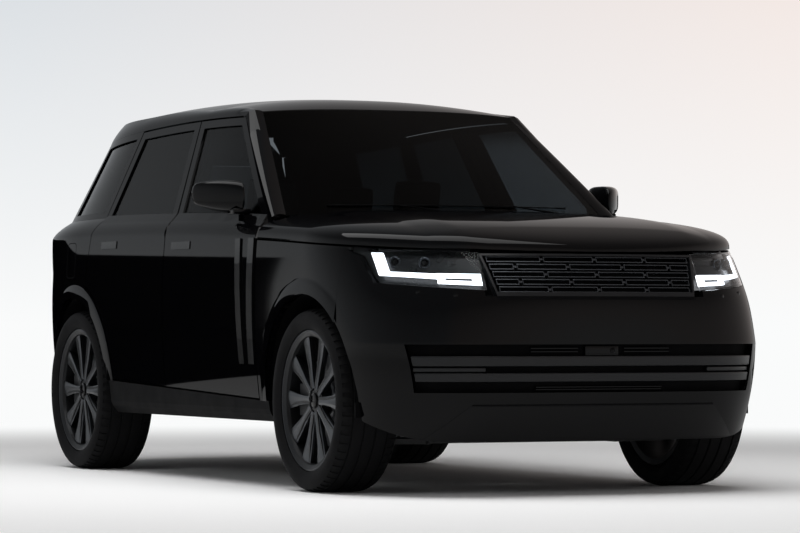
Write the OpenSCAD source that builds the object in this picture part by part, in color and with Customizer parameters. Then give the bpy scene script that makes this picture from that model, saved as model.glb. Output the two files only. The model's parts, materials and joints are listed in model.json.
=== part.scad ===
// Five-door sport utility vehicle with a clamshell bonnet and a split tailgate.
// +X is the front, +Y the left side, +Z is up, and the wheels stand on z = 0.

/* [Overall] */
// Length over the bumpers
car_l = 5052; // [4800:2:5300]
// Width of the body at the doors
body_w = 2004; // [1940:2:2060]
// Height of the roof
roof_h = 1852; // [1820:1:1890]
// Distance between the axles
wheelbase = 2997; // [2900:1:3090]
// Front bumper to front axle
front_overhang = 901; // [860:1:960]
// Distance between the wheel centre planes
track = 1702; // [1680:1:1720]

/* [Body lines] */
// Height of the shoulder crease at mid length
crease_h = 1155; // [1130:1:1180]
// Height of the glass line above the crease
belt_rise = 95; // [85:1:105]
// Half width of the cabin at the glass line
belt_half = 905; // [890:1:915]
// Half width of the cabin at the roof rail
rail_half = 720; // [690:1:740]
// Height of the roof rail line
rail_h = 1724; // [1700:1:1740]
// Centre line of the bonnet above the crease
bonnet_rise = 129; // [105:1:150]
// Step of the raised centre of the bonnet
dome_rise = 9; // [0:1:16]
// Half width of the raised centre of the bonnet
dome_half = 545; // [480:5:600]
// Width of the shut line round a moving panel
shut = 9; // [8:0.5:11]
// Gap between pieces that are fixed together
fit = 0.4; // [0.3:0.05:0.6]

/* [Panels] */
// Thickness of a wing or bumper skin
skin_t = 26; // [22:1:30]
// Thickness of a whole door
door_t = 104; // [94:1:108]
// Thickness of the door frame round the glass
frame_t = 34; // [30:1:38]
// Thickness of a door edge at its hinges
edge_t = 13; // [11:1:14]
// Thickness of the glass
glass_t = 5; // [4:0.5:6]
// Radius of the wheel arch opening
arch_r = 465; // [460:1:472]

/* [Wheels] */
// Radius of the tyre
tyre_r = 400; // [390:1:402]
// Width of the tyre
tyre_w = 288; // [276:2:292]
// Bead radius of the rim
rim_r = 292; // [286:1:296]
// Number of spokes
spokes = 10; // [7:1:12]
// Brake disc radius
disc_r = 200; // [180:1:206]
// Radius of the stub shaft that carries a wheel
shaft_r = 30; // [24:1:34]
// Running clearance of shafts and pins
run = 0.05; // [0.03:0.01:0.08]
// Steering pivot inboard of the wheel centre plane
kingpin_in = 60; // [56:1:64]
// Radius of the steering pivot pins
kingpin_r = 14; // [11:1:16]

/* [Hinges] */
// Door hinge axis behind the door's front edge
hinge_back = 100; // [92:1:108]
// Radius of the hinge pins
pin_r = 7; // [5:0.5:8]

/* [Mounts] */
// Jacking pad size
jack_pad = 60; // [50:1:70]
// Bore of the towing eye sockets
tow_bore = 22; // [18:1:26]

/* [Hidden] */
$fn = 64;

// axle places
ax_f = car_l/2 - front_overhang;
ax_r = ax_f - wheelbase;
axle_h = tyre_r;

// small helpers
function mix(a, b, u) = a + (b - a)*u;
function clamp(v, a, b) = min(max(v, a), b);
function ramp(v, a, b) = clamp((v - a)/(b - a), 0, 1);
function lin(a, b, n) = [for (i = [0:n]) mix(a, b, i/n)];
function spow(v, p) = sign(v)*pow(abs(v), p);
function sum(l, i = 0) = i < len(l) ? l[i] + sum(l, i + 1) : 0;

// shoulder crease and glass line along the car
function crease(x) = crease_h - 0.0243*x - 9e-6*x*x;
function belt(x) = crease(x) + belt_rise;
// roof rail line, where the doors end
function rail(x) = rail_h - 2.6e-5*pow(x + 250, 2);
// barrel of the body side
function barrel(z) = body_w/2 - 36*pow((z - 820)/500, 2);
// cabin half width, leaning in towards the roof
function cabin(z) = belt_half - (belt_half - rail_half)*(z - 1250)/470;

// plan outline: a rounded end from x0 to x1 with exponent n
function rounded(x, x0, x1, n) = pow(max(0, 1 - pow(clamp((x - x0)/(x1 - x0), 0, 1), n)), 1/n);
nose_x0 = ax_f - 25;
tail_x0 = ax_r + 72;
cabin_x0 = ax_r + 372;
// front end at height z: leans back over the grille and tucks under at the lip
function nose_x(z) = car_l/2 + 1.4 - 0.21*(sqrt(pow(z - 840, 2) + 2500) + z - 840)
    - (z < 600 ? 8e-4*pow(600 - z, 2) : 0);
function nose_n(z) = mix(3.45, 2.32, ramp(z, 650, 1064));
// rear end at height z, as a distance behind the origin
function tail_x(z) = car_l/2 - (z < 850 ? 3.6e-4*pow(850 - z, 2)
    : z < 1240 ? 3.9e-4*pow(z - 850, 2) : 59.3 + 0.565*(z - 1240));
function tail_n(z) = mix(2.52, 2.9, ramp(z, 990, 1240));

// half width of the lower body and of the cabin
function low_y(x, z) = barrel(z)*(x > nose_x0 ? rounded(x, nose_x0, nose_x(z), nose_n(z))
    : rounded(-x, -tail_x0, tail_x(z), tail_n(z)));
function cabin_y(x, z) = cabin(z)*(x > 0 ? 1 - 0.037*pow(x/985, 2)
    : rounded(-x, -cabin_x0, tail_x(z), mix(3, 2.7, ramp(z, 1264, 1674))));
// half width of the whole side: body, rolled shoulder, glass
function side_y(x, z) = let (c = crease(x), b = belt(x))
    z <= c ? low_y(x, z) : z >= b ? cabin_y(x, z)
    : mix(low_y(x, c), cabin_y(x, b), pow((z - c)/(b - c), 1.6));
// rear face: the x at which the side is y wide, by halving
function back_x(y, z, a = -1500, b = -car_l/2, n = 26) = n == 0 ? (a + b)/2
    : let (m = (a + b)/2) side_y(m, z) > abs(y) ? back_x(y, z, m, b, n - 1) : back_x(y, z, a, m, n - 1);
// front face at plan angle w, pulled in by t
function nose_p(w, z, t = 0) = let (n = nose_n(z))
    [nose_x0 + (nose_x(z) - nose_x0 - t)*pow(abs(cos(w)), 2/n), (barrel(z) - t)*spow(sin(w), 2/n), z];
function nose_w(x, z) = acos(pow(clamp((x - nose_x0)/(nose_x(z) - nose_x0), 0, 1), nose_n(z)/2));
// roof skin
function crown(x) = x < -300 ? mix(55, 30, ramp(-x, 1200, 2100)) : mix(55, 22, ramp(x, -300, 330));
function roof_z(x, y) = roof_h - (x > -850 ? 4.6e-5 : 5.4e-5)*pow(x + 850, 2)
    - 35*pow(max(0, x + 50)/400, 2) - crown(x)*pow(abs(y)/600, 2.4);
// roof edges
header_x = 335;
roof_end = ax_r - 742;
rail_band = 74;
function roof_y(x) = cabin_y(x, rail(x)) - rail_band;
function header(y) = header_x - 1e-4*y*y;
// windscreen, ruled from its foot to the roof
screen_z = 1228;
screen_half = 810;
function foot_x(y) = 1102 - 2e-4*y*y;
function screen_p(f, g) = let (yb = f*screen_half, yt = f*roof_y(header_x - 42))
    mix([foot_x(yb), yb, screen_z], [header(yt), yt, roof_z(header(yt), yt)], g)
    + 14*(1 - f*f)*4*g*(1 - g)*[0.6, 0, 0.8];
// bonnet dome above the crease
function bonnet_lift(x) = bonnet_rise*rounded(x, 1400, nose_x(crease(2440)), 2.4);
function edge_y(x) = low_y(x, crease(x));
function bonnet_z(x, y) = crease(x) + bonnet_lift(x)
    *pow(max(0, 1 - pow(min(1, abs(y)/max(1, edge_y(x))), 3)), 1/3)
    + dome_rise*ramp(dome_half + 50 - abs(y), 0, 50)*ramp(car_l/2 - 90 - x, 0, 190);
// bonnet outline ahead of the lamps, by halving
function edge_x(y, a = nose_x0, b = car_l/2, n = 26) = n == 0 ? (a + b)/2
    : let (m = (a + b)/2) edge_y(m) > abs(y) ? edge_x(y, m, b, n - 1) : edge_x(y, a, m, n - 1);

// sill top, door and arch lines
function sill_top(x) = 425 - 0.0327*x;
function arch_z(x, ax, r) = axle_h + sqrt(max(0, r*r - pow(x - ax, 2)));
function arch_dx(z, r) = sqrt(r*r - pow(max(0, z - axle_h), 2));

// closes an outer and an inner point grid into one solid; keep says which cells are solid
module shell(outer, inner, keep = function (r, c) true) {
    nr = len(outer); nc = len(outer[0]); n = nr*nc;
    pts = concat([for (r = outer) each r], [for (r = inner) each r]);
    solid = function (r, c) r >= 0 && c >= 0 && r < nr - 1 && c < nc - 1 && keep(r, c);
    quad = function (a, b, c, d) [[a, b, c], [a, c, d]];
    faces = [for (r = [0:nr - 2]) for (c = [0:nc - 2]) if (solid(r, c))
        let (a = r*nc + c, b = a + 1, d = a + nc, e = d + 1)
        each concat(quad(a, b, e, d), quad(a + n, d + n, e + n, b + n),
            solid(r - 1, c) ? [] : quad(a, a + n, b + n, b),
            solid(r + 1, c) ? [] : quad(e, e + n, d + n, d),
            solid(r, c - 1) ? [] : quad(d, d + n, a + n, a),
            solid(r, c + 1) ? [] : quad(b, b + n, e + n, e))];
    volume = sum([for (f = faces) cross(pts[f[0]], pts[f[1]])*pts[f[2]]]);
    polyhedron(pts, volume < 0 ? faces : [for (f = faces) [f[0], f[2], f[1]]], convexity = 8);
}
module both() { children(); mirror([0, 1, 0]) children(); }
module on_side(s) { if (s > 0) children(); else mirror([0, 1, 0]) children(); }
function side_p(x, z, t = 0) = [x, side_y(x, z) - t, z];

// side panel between a lower and an upper line, over stations xs
module side_panel(xs, lo, hi, rows, t, ease = 0) {
    at = function (x, f, d) side_p(x + (d > 0 && x == xs[0] ? ease : 0), mix(lo(x), hi(x), f), d);
    shell([for (r = [0:rows]) [for (x = xs) at(x, r/rows, 0)]],
          [for (r = [0:rows]) [for (x = xs) at(x, r/rows, t)]]);
}

// wheel place: local z points outward along the axle
module at_wheel(ax, s) translate([ax, s*track/2, axle_h]) rotate([-90*s, 0, 0]) children();
module bar(a, b) translate([min(a.x, b.x), min(a.y, b.y), min(a.z, b.z)])
    cube([abs(b.x - a.x), abs(b.y - a.y), abs(b.z - a.z)]);

// structure
floor_z = 385;
floor_t = 25;
pillar_y = body_w/2 - 136;
liner_r = arch_r + 9;
rail_y = 470;
rear_rail_y = 556;
beam_x = car_l/2 - 190;
rear_x = -car_l/2 + 195;
kick_x = ax_r + 352;
tow_y = 300;
tow_z = 626;
rear_tow_z = 640;
tow_deep = 45;
wall_x = 1120;
load_z = 700;
front_door_x = 1060;
mid_door_x = -105;
door_hinge_y = body_w/2 - 32;
front_hinge_x = front_door_x - hinge_back;
rear_hinge_x = mid_door_x - shut/2 - hinge_back;
wall_z = screen_z - 60;

module floor_pan() color("#2b2c2e") union() {
    bar([ax_r + arch_r + 2, -pillar_y + fit, floor_z], [wall_x + 10, pillar_y - fit, floor_z + floor_t]);
    // rails under the floor and out to the front beam
    both() bar([ax_r + arch_r + 2, 380, 268], [wall_x, 500, floor_z + 2]);
    both() bar([wall_x - 60, 400, floor_z + 5], [wall_x + 120, rail_y, 570]);
    both() bar([wall_x, 400, 480], [car_l/2 - 190, rail_y, 570]);
    // front beam with the towing eye socket
    difference() {
        bar([beam_x - 55, -560, 520], [beam_x, 560, 660]);
        translate([beam_x - tow_deep, tow_y, tow_z]) rotate([0, 90, 0]) cylinder(d = tow_bore, h = tow_deep + 1);
    }
    // firewall, notched for the bonnet arms, and the bonnet hinge pins
    difference() {
        bar([wall_x, -pillar_y + 10, floor_z], [wall_x + 20, pillar_y - 10, wall_z]);
        both() bar([wall_x - 1, lid_y - 24, wall_z - 20], [wall_x + 26, lid_y + 24, wall_z + 1]);
    }
    both() {
        bar([lid_x - 12, lid_y + 18, lid_z - 12], [wall_x + 16, lid_y + 34, lid_z + 10]);
        bar([wall_x, lid_y + 18, lid_z - 60], [wall_x + 16, lid_y + 34, lid_z + 10]);
        translate([lid_x, lid_y - 16, lid_z]) rotate([-90, 0, 0]) cylinder(r = pin_r, h = 40);
    }
    // wheel arch liners and the foot of the front bumper behind its arch
    both() liner(ax_f, rail_y - 2, 900, 215, 0);
    both() bar([ax_f + arch_r - 16, 868, 335], [ax_f + arch_r - fit, 955, 396]);
    both() bar([ax_f + arch_r - 16, 868, 335], [ax_f + liner_r + 6, 884, 460]);
}
module rear_floor() color("#2b2c2e") union() {
    // rear kick wall, load floor and rear rails
    bar([kick_x, -rear_rail_y, floor_z], [kick_x + 25, rear_rail_y, load_z + 22]);
    bar([kick_x, -rear_rail_y, floor_z], [ax_r + arch_r + 2 - fit, rear_rail_y, floor_z + floor_t]);
    bar([rear_x, -rear_rail_y, load_z], [kick_x + 20, rear_rail_y, load_z + 22]);
    both() bar([rear_x, 490, 560], [kick_x + 20, rear_rail_y, load_z + 5]);
    difference() {
        bar([rear_x, -520, 560], [rear_x + 55, 520, load_z + 5]);
        translate([rear_x - 1, tow_y, rear_tow_z]) rotate([0, 90, 0]) cylinder(d = tow_bore, h = tow_deep + 1);
    }
    // posts with the lower tailgate's hinge pins
    for (s = [-1, 1]) {
        bar([drop_x + 60, s*drop_hinge_y - 14, load_z], [rear_x + 10, s*drop_hinge_y + 14, load_z + 22]);
        bar([drop_x + 60, s*drop_hinge_y - 14, load_z], [drop_x + 80, s*drop_hinge_y + 14, drop_z + 9]);
        bar([drop_x, s*drop_hinge_y - 11, drop_z - 6], [drop_x + 80, s*drop_hinge_y + 11, drop_z + 6]);
        translate([drop_x, s*drop_hinge_y - 11, drop_z]) rotate([-90, 0, 0]) cylinder(r = 8.5, h = 22);
        translate([drop_x, s*drop_hinge_y - 30, drop_z]) rotate([-90, 0, 0]) cylinder(r = pin_r, h = 60);
    }
}
// rear wheel arch liners with the foot of the bumper behind each arch
module rear_liners() color("#2b2c2e") both() {
    liner(ax_r, rear_rail_y + fit, 882, 160, 60);
    bar([ax_r - arch_r + fit, 846, 335], [ax_r - arch_r + 16, 955, 396]);
    bar([ax_r - liner_r - 4, 846, 335], [ax_r - arch_r + 16, 864, 500]);
}
module liner(ax, y0, y1, up, low) translate([ax, y0, axle_h]) rotate([-90, 0, 0]) {
    difference() {
        cylinder(r = liner_r + 6, h = y1 - y0);
        translate([0, 0, -1]) cylinder(r = liner_r, h = y1 - y0 + 2);
        translate([-600, -low - 0.01, -1]) cube([1200, 600, y1 - y0 + 2]);
    }
    difference() {
        cylinder(r = liner_r + 6, h = 12);
        translate([-600, -up, -1]) cube([1200, 800, 14]);
    }
}

module pillars() color("#1b1c1e") both() {
    // hinge pillar and centre pillar, each with its door hinge brackets
    bar([front_door_x - 125, 800, floor_z + floor_t + fit], [front_door_x - 18, pillar_y - 6, screen_z - 29 - fit]);
    bar([mid_door_x - 160, 800, floor_z + floor_t + fit], [mid_door_x + 15, pillar_y - 6, belt(0) - 6]);
    shell([for (g = [0, 1]) [for (e = [0, 1])
               [mix(mid_door_x - 130, mid_door_x - 245, g) + 105*e, mix(850, 668, g), mix(belt(0) - 16, 1700, g)]]],
          [for (g = [0, 1]) [for (e = [0, 1])
               [mix(mid_door_x - 130, mid_door_x - 245, g) + 105*e, mix(806, 630, g), mix(belt(0) - 16, 1700, g)]]]);
    for (x = [front_hinge_x, rear_hinge_x]) for (z = [620, 980]) hinge_bracket(x, z);
}
// strap from the pillar out to an upright pin
module hinge_bracket(x, z) {
    bar([x - 8, pillar_y - 20, z - 10], [x + 8, door_hinge_y, z + 10]);
    translate([x, door_hinge_y, z - 10]) cylinder(r = 8, h = 20);
    translate([x, door_hinge_y, z - 36]) cylinder(r = pin_r, h = 72);
}

module sills() color("#202123") both() difference() {
    x0 = ax_r + arch_r + fit; x1 = ax_f - arch_r - fit;
    translate([x0, 0, 0]) rotate([90, 0, 90]) linear_extrude(x1 - x0) polygon(concat(
        [[pillar_y, 520], [pillar_y, 296], [930, 296]],
        [for (z = [330, 352, 400, 450, 520]) [barrel(z) - 4 - 30*pow(ramp(z, 352, 296), 2), z]]));
    translate([0, 800, sill_top(0)]) rotate([0, atan(0.0327), 0]) translate([-3000, 0, 0]) cube([6000, 300, 300]);
    // flat jacking pads under the sill
    for (x = [x0 + 180, x1 - 180]) translate([x - jack_pad/2, pillar_y + 4, 290]) cube([jack_pad, jack_pad - 8, 10]);
}

// windscreen pillar and roof rail as one swept band
rail_xs = concat(lin(header_x - 42, -1900, 11), [-2000, -2060, roof_end]);
function pillar_out(g) = let (x = mix(985, 262, g), z = mix(belt(985), rail(262), g)) side_p(x, z);
module side_rails() color("#0c0d0f") both() {
    post = [for (g = [0:0.2:0.8]) [pillar_out(g), screen_p(1, g), [0.5, 0, 0.85]]];
    top = [for (x0 = rail_xs) let (x = max(x0, roof_end + 10))
        [side_p(min(x, 262 + (x - 293)*0.98), rail(x)), [x, roof_y(x), roof_z(x, roof_y(x))], [0, 0, 1]]];
    secs = concat(post, top);
    arc = function (s, f) let (c = [mix(s[0].x, s[1].x, 0.35), s[0].y - 16, s[0].z + 44])
        (1 - f)*(1 - f)*s[0] + 2*f*(1 - f)*mix(c, (s[0] + s[1])/2, s[2].z < 1 ? 0.6 : 0) + f*f*s[1];
    inward = function (s, f) mix([0, 1, 0], s[2], f)*34;
    fs = [0, 0.3, 0.65, 1];
    shell([for (s = secs) [for (f = fs) arc(s, f)]],
          [for (s = secs) [for (f = fs) arc(s, f) - inward(s, f)]]);
}

roof_xs = concat([for (x = rail_xs) x]);
module roof_panel() color("#101113") {
    fs = [-1, -0.86, -0.7, -0.5, -0.25, 0, 0.25, 0.5, 0.7, 0.86, 1];
    at = function (k, f, t) let (x = rail_xs[k], y = f*(roof_y(x) - fit), xx = k == 0 ? header(y) - fit : x)
        [xx, y, roof_z(xx, y) - t];
    difference() {
        shell([for (k = [0:len(rail_xs) - 1]) [for (f = fs) at(k, f, 0)]],
              [for (k = [0:len(rail_xs) - 1]) [for (f = fs) at(k, f, 14)]]);
        for (s = [-1, 1]) translate([roof_end - 5, s*gate_hinge_y - 36, 1600]) cube([55, 72, 300]);
    }
    // header beam with the tailgate hinge pins
    bar([gate_x + 34, -250, gate_z - 22], [gate_x + 62, 250, roof_z(gate_x + 48, 0) - 8]);
    for (s = [-1, 1]) {
        bar([gate_x - 8, s*gate_hinge_y - 12, gate_z - 20], [gate_x + 40, s*gate_hinge_y + 12, gate_z]);
        translate([gate_x, s*gate_hinge_y - 12, gate_z]) rotate([-90, 0, 0]) cylinder(r = 9, h = 24);
        translate([gate_x, s*gate_hinge_y - 30, gate_z]) rotate([-90, 0, 0]) cylinder(r = pin_r, h = 60);
    }
}

wing_front = ax_f + 320;
wing_back = front_door_x + shut;
module front_wings() color("#0f1012") both() {
    a = ax_f - arch_r;
    xs = concat([wing_back, wing_back + 45, a, a + 4, a + 22, a + 60, a + 120], lin(a + 200, wing_front, 7));
    lo = function (x) x <= a ? sill_top(x) + fit : arch_z(x, ax_f, arch_r);
    side_panel(xs, lo, function (x) crease(x) - shut, 6, skin_t, 6);
}

quarter_x = -1150;
door_cut_r = arch_r + 76;
tail_y = 690;
gate_half = 592;
bumper_top = 800;
module quarter_panels() color("#0f1012") both() {
    a = ax_r + arch_r; e = ax_r - arch_dx(bumper_top, arch_r);
    door_z = function (x) arch_z(x, ax_r, door_cut_r - shut/2);
    lo = function (x) x >= a ? sill_top(x) + fit : max(arch_z(x, ax_r, arch_r), x < ax_r ? bumper_top + fit : 0);
    hi = function (x) x > quarter_x - 62 ? door_z(x)
        : x > quarter_x - 72 ? mix(door_z(quarter_x - 62), belt(x) - fit, 0) : belt(x) - fit;
    xs1 = concat([a + 62, a + 40, a, a - 4, a - 22, a - 70, a - 150], lin(a - 220, quarter_x - 62, 2));
    // wing round the arch up to the door edge, then up to the glass line
    side_panel(xs1, lo, hi, 4, skin_t);
    xend = back_x(tail_y, 1000);
    xs2 = concat([quarter_x - 62 - fit, quarter_x - 150, quarter_x - 260, ax_r - 100, e, e - 120],
        lin(e - 260, xend + 50, 4), [xend]);
    edge = function (x, f, z) x;
    zs = function (x, f) mix(lo(x), belt(x) - fit, f);
    px = function (i, f) let (z = zs(xs2[i], f))
        i == 0 ? quarter_x - 62 - fit + 50*ramp(z, 925, 1160) - 8*ramp(z, 1160, 1260)
        : i == len(xs2) - 1 ? back_x(tail_y, z) : xs2[i];
    last = len(xs2) - 1;
    at = function (i, f, t) let (z = zs(xs2[i], f), x = px(i, f)) i < last - 1 ? side_p(x, z, t)
        : [x + (i == last ? 1 : 0.6)*t, side_y(x, z) - (i == last ? 0 : 0.6)*t, z];
    fr = [0, 0.15, 0.3, 0.45, 0.6, 0.72, 0.79, 0.86, 0.93, 1];
    shell([for (f = fr) [for (i = [0:len(xs2) - 1]) at(i, f, 0)]],
          [for (f = fr) [for (i = [0:len(xs2) - 1]) at(i, f, skin_t)]]);
    // rear roof pillar round the quarter glass
    shell([for (r = [0:7]) [for (c = [0:9]) pillar_p(r, c, 0)]],
          [for (r = [0:7]) [for (c = [0:9]) pillar_p(r, c, frame_t)]],
          function (r, c) !(r >= 1 && r < 6 && c >= 1 && c < 6));
}
// rear pillar grid: rows from the glass line to the rail, columns front to back
function pillar_front(g) = mix(quarter_x - 20, quarter_x + 60, g);
function gate_y(z) = mix(gate_half, side_y(roof_end, rail(roof_end)) - shut, ramp(z, 1215, rail(roof_end)));
function pillar_p(r, c, t) =
    let (gs = [0, 0.07, 0.26, 0.45, 0.64, 0.83, 0.92, 1], g = gs[r],
         zf = mix(belt(quarter_x), rail(quarter_x), g), zr = mix(belt(-2300), rail(roof_end), g),
         xf = pillar_front(g), xr = back_x(gate_y(zr) + shut, zr),
         fs = [0, 0.05, 0.16, 0.28, 0.4, 0.52, 0.56, 0.7, 0.86, 1],
         x = mix(xf, xr, fs[c]), z = mix(belt(x), rail(max(x, roof_end)) - 1.5*fit, g))
    c < 8 ? side_p(x, z, t) : [x + (c == 9 ? 1 : 0.6)*t, side_y(x, z) - (c == 9 ? 0 : 0.6)*t, z];

module quarter_glass() color("#23272c") both() {
    inset = function (r, c) let (p = pillar_p(r, c, 10), q = pillar_p(3, 3, 10))
        p + (r == 1 ? [0, 0, fit] : r == 6 ? [0, 0, -fit] : [0, 0, 0])
          + (c == 1 ? [-fit, 0, 0] : c == 6 ? [fit, 0, 0] : [0, 0, 0]);
    shell([for (r = [1:6]) [for (c = [1:6]) inset(r, c)]],
          [for (r = [1:6]) [for (c = [1:6]) inset(r, c) - [0, glass_t, 0]]]);
}

// front bumper: rows upward, columns from right to left
bump_w = [0, 0.105, 0.21, 0.305, 0.325, 0.43, 0.535, 0.643, 0.72, 0.80, 0.86, 0.906, 0.955, 1];
bump_cols = concat([for (i = [len(bump_w) - 1:-1:1]) -bump_w[i]], bump_w);
intake_z0 = 440;
intake_z1 = 651;
grille_z0 = 850;
function bump_side(z) = nose_w(max(wing_front + fit, ax_f + arch_dx(z, arch_r)), z);
function bump_p(w, z, t = 0) = abs(w) < 0.999 ? nose_p(w*bump_side(z), z, t)
    : nose_p(w*bump_side(z), z) - [0, t*sign(w), 0];
function bump_top(w) = let (a = abs(w)) a < 0.31 ? grille_z0 : a <= 0.8 ? mix(876, 908, ramp(a, 0.325, 0.8))
    : a <= 0.906 ? mix(908, 1026, ramp(a, 0.8, 0.906)) : mix(1026, crease(wing_front) - 26, ramp(a, 0.906, 1));
function bump_low(w) = 236 + 84*pow(ramp(abs(w), 0.45, 1), 2);
module front_bumper() color("#101113") {
    z = function (w, r) r <= 3 ? mix(bump_low(w), intake_z0, r/3)
        : r <= 5 ? mix(intake_z0, intake_z1, (r - 3)/2) : mix(intake_z1, bump_top(w), (r - 5)/4);
    shell([for (r = [0:9]) [for (w = bump_cols) bump_p(w, z(w, r))]],
          [for (r = [0:9]) [for (w = bump_cols) bump_p(w, z(w, r), skin_t)]],
          function (r, c) !(r >= 3 && r < 5 && abs(bump_cols[c] + bump_cols[c + 1])/2 < 0.643));
}
// bars and mesh panel in the lower opening
intake_cols = [for (w = bump_cols) if (abs(w) <= 0.6431) w];
module intake_bars() color("#3a3c3f") {
    zs = [intake_z0 + fit, 485, 489, 525, 529, 551, 555, 597, 601, intake_z1 - fit];
    depth = function (r) r == 3 || r == 2 || r == 6 || r == 7 ? 8 : 22;
    w_in = function (w) w*0.9985;
    difference() {
        shell([for (r = [0:9]) [for (w = intake_cols) bump_p(w_in(w), zs[r], depth(r))]],
              [for (r = [0:9]) [for (w = intake_cols) bump_p(w_in(w), zs[r], 34)]]);
        // way in to the towing eye socket
        translate([beam_x, tow_y, tow_z]) rotate([0, 90, 0]) cylinder(d = tow_bore + 14, h = 260);
    }
}
// grille: a panel and a frame, with rows of long links, staggered from row to row
grille_z1 = crease(nose_x(1040)) - shut - 1;
grille_links = 4;
link_rows = 5;
link_h = 24;
link_rim = 5;
link_gap = 15;
function nose_yz(y, z, t) = let (n = nose_n(z))
    [nose_x0 + (nose_x(z) - nose_x0 - t)*pow(max(0, 1 - pow(abs(y)/(barrel(z) - t), n)), 1/n), y, z];
function grille_half(z) = mix(466, 506, ramp(z, grille_z0, grille_z1));
// frame between four edges on the nose, from t0 to t1 below the surface
module nose_ring(half0, half1, z0, z1, mid, rim, t0, t1) {
    zs = [z0, z0 + rim, z1 - rim, z1];
    at = function (i, z, t) let (h = mix(half0, half1, (z - z0)/(z1 - z0)), n = len(mid))
        nose_yz(i == 0 ? -h : i == n + 1 ? h : mid[i - 1]*(h - rim), z, t);
    shell([for (z = zs) [for (i = [0:len(mid) + 1]) at(i, z, t0)]], [for (z = zs) [for (i = [0:len(mid) + 1]) at(i, z, t1)]],
          function (r, c) !(r == 1 && c > 0 && c < len(mid)));
}
module grille_link(y0, y1, z) {
    ys = concat([y0], lin(y0 + link_rim, y1 - link_rim, 2), [y1]);
    zs = [z - link_h/2, z - link_h/2 + link_rim, z + link_h/2 - link_rim, z + link_h/2];
    shell([for (h = zs) [for (y = ys) nose_yz(y, h, 8)]], [for (h = zs) [for (y = ys) nose_yz(y, h, 32)]],
          function (r, c) !(r == 1 && c > 0 && c < 3));
}
module grille() color("#3a3c3f") union() {
    across = lin(-1, 1, 10);
    z0 = grille_z0 + fit;
    zs = lin(z0 + 6, grille_z1 - 6, 4);
    shell([for (z = zs) [for (f = across) nose_yz(f*(grille_half(z) - 6), z, 27)]],
          [for (z = zs) [for (f = across) nose_yz(f*(grille_half(z) - 6), z, 52)]]);
    nose_ring(grille_half(z0), grille_half(grille_z1), z0, grille_z1, across, 11, 4, 40);
    pitch = (grille_z1 - z0 - 22)/link_rows;
    for (r = [0:link_rows - 1]) let (z = grille_z1 - 11 - (r + 0.5)*pitch, half = grille_half(z) - 14,
            ends = r % 2 == 0 ? lin(-1, 1, grille_links)
                : concat([-1], lin(-0.76, 0.76, grille_links - 1), [1]))
        for (i = [0:len(ends) - 2]) grille_link(ends[i]*half + link_gap/2, ends[i + 1]*half - link_gap/2, z);
}
lamp_half = 514;
lamp_cols = [for (w = bump_w) if (w > 0.32) w];
module headlamps() color("#4a4f55") both() {
    foot = function (w) bump_top(w) + fit;
    lid = function (w) max(foot(w) + 12, crease(bump_p(w, 1050).x) - shut);
    // the inner edge runs upright beside the grille
    at = function (w, r, t) let (z = mix(foot(w), lid(w), r/5))
        w == lamp_cols[0] ? nose_yz(lamp_half, z, t) : bump_p(w, z, t);
    shell([for (r = [0:5]) [for (w = lamp_cols) at(w, r, 3)]], [for (r = [0:5]) [for (w = lamp_cols) at(w, r, 60)]]);
}

// rear face grid
function rear_p(y, z, t = 0) = [back_x(y, z) + t, y, z];
module tail_lamps() color("#5a1216") both() shell(
    [for (z = lin(bumper_top + fit, 1215, 6)) [for (y = lin(gate_half + shut, tail_y - fit, 2)) rear_p(y, z)]],
    [for (z = lin(bumper_top + fit, 1215, 6)) [for (y = lin(gate_half + shut, tail_y - fit, 2)) rear_p(y, z, 40)]]);
rear_cols = [-1, -0.93, -0.86, -0.78, -0.7, -0.6, -0.48, -0.36, -0.24, -0.12, 0,
             0.12, 0.24, 0.36, 0.48, 0.6, 0.7, 0.78, 0.86, 0.93, 1];
function tail_p(w, z, t = 0) = let (n = tail_n(z), l = tail_x(z) + tail_x0,
        a = acos(pow((arch_dx(z, arch_r) - ax_r + tail_x0)/l, n/2))*w)
    abs(w) > 0.999 ? [tail_x0 - l*pow(abs(cos(a)), 2/n), barrel(z)*spow(sin(a), 2/n) - t*sign(w), z]
    : [tail_x0 - (l - t)*pow(abs(cos(a)), 2/n), (barrel(z) - t)*spow(sin(a), 2/n), z];
module rear_bumper() color("#101113") {
    z = function (w, r) mix(330 - 10*abs(w), bumper_top, r/7);
    difference() {
        shell([for (r = [0:7]) [for (w = rear_cols) tail_p(w, z(w, r))]],
              [for (r = [0:7]) [for (w = rear_cols) tail_p(w, z(w, r), skin_t)]]);
        translate([-car_l/2 - 10, tow_y, rear_tow_z]) rotate([0, 90, 0]) cylinder(d = tow_bore + 14, h = 140);
    }
}

module cowl() color("#17181a") {
    ys = lin(-cowl_half, cowl_half, 20);
    translate([0, 0, screen_z - 24 + fit]) linear_extrude(24 - 2*fit) polygon(concat(
        [for (i = [0:20]) [1150 - 2.7e-4*ys[i]*ys[i], ys[i]]], [for (i = [20:-1:0]) [foot_x(ys[i]) - 40, ys[i]]]));
    // wall down to the firewall
    bar([wall_x, -330, wall_z + fit], [wall_x + 20, 330, screen_z - 20]);
}
cowl_half = screen_half - 15;

module windscreen() color("#2a2f34") {
    fs = lin(-1, 1, 12); gs = lin(0, 1, 8);
    at = function (f, g, t) screen_p(f*(1 - 4*fit/screen_half), g*0.9905) - [t, 0, 0];
    shell([for (g = gs) [for (f = fs) at(f, g, 1)]], [for (g = gs) [for (f = fs) at(f, g, 1 + glass_t)]]);
}

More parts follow.
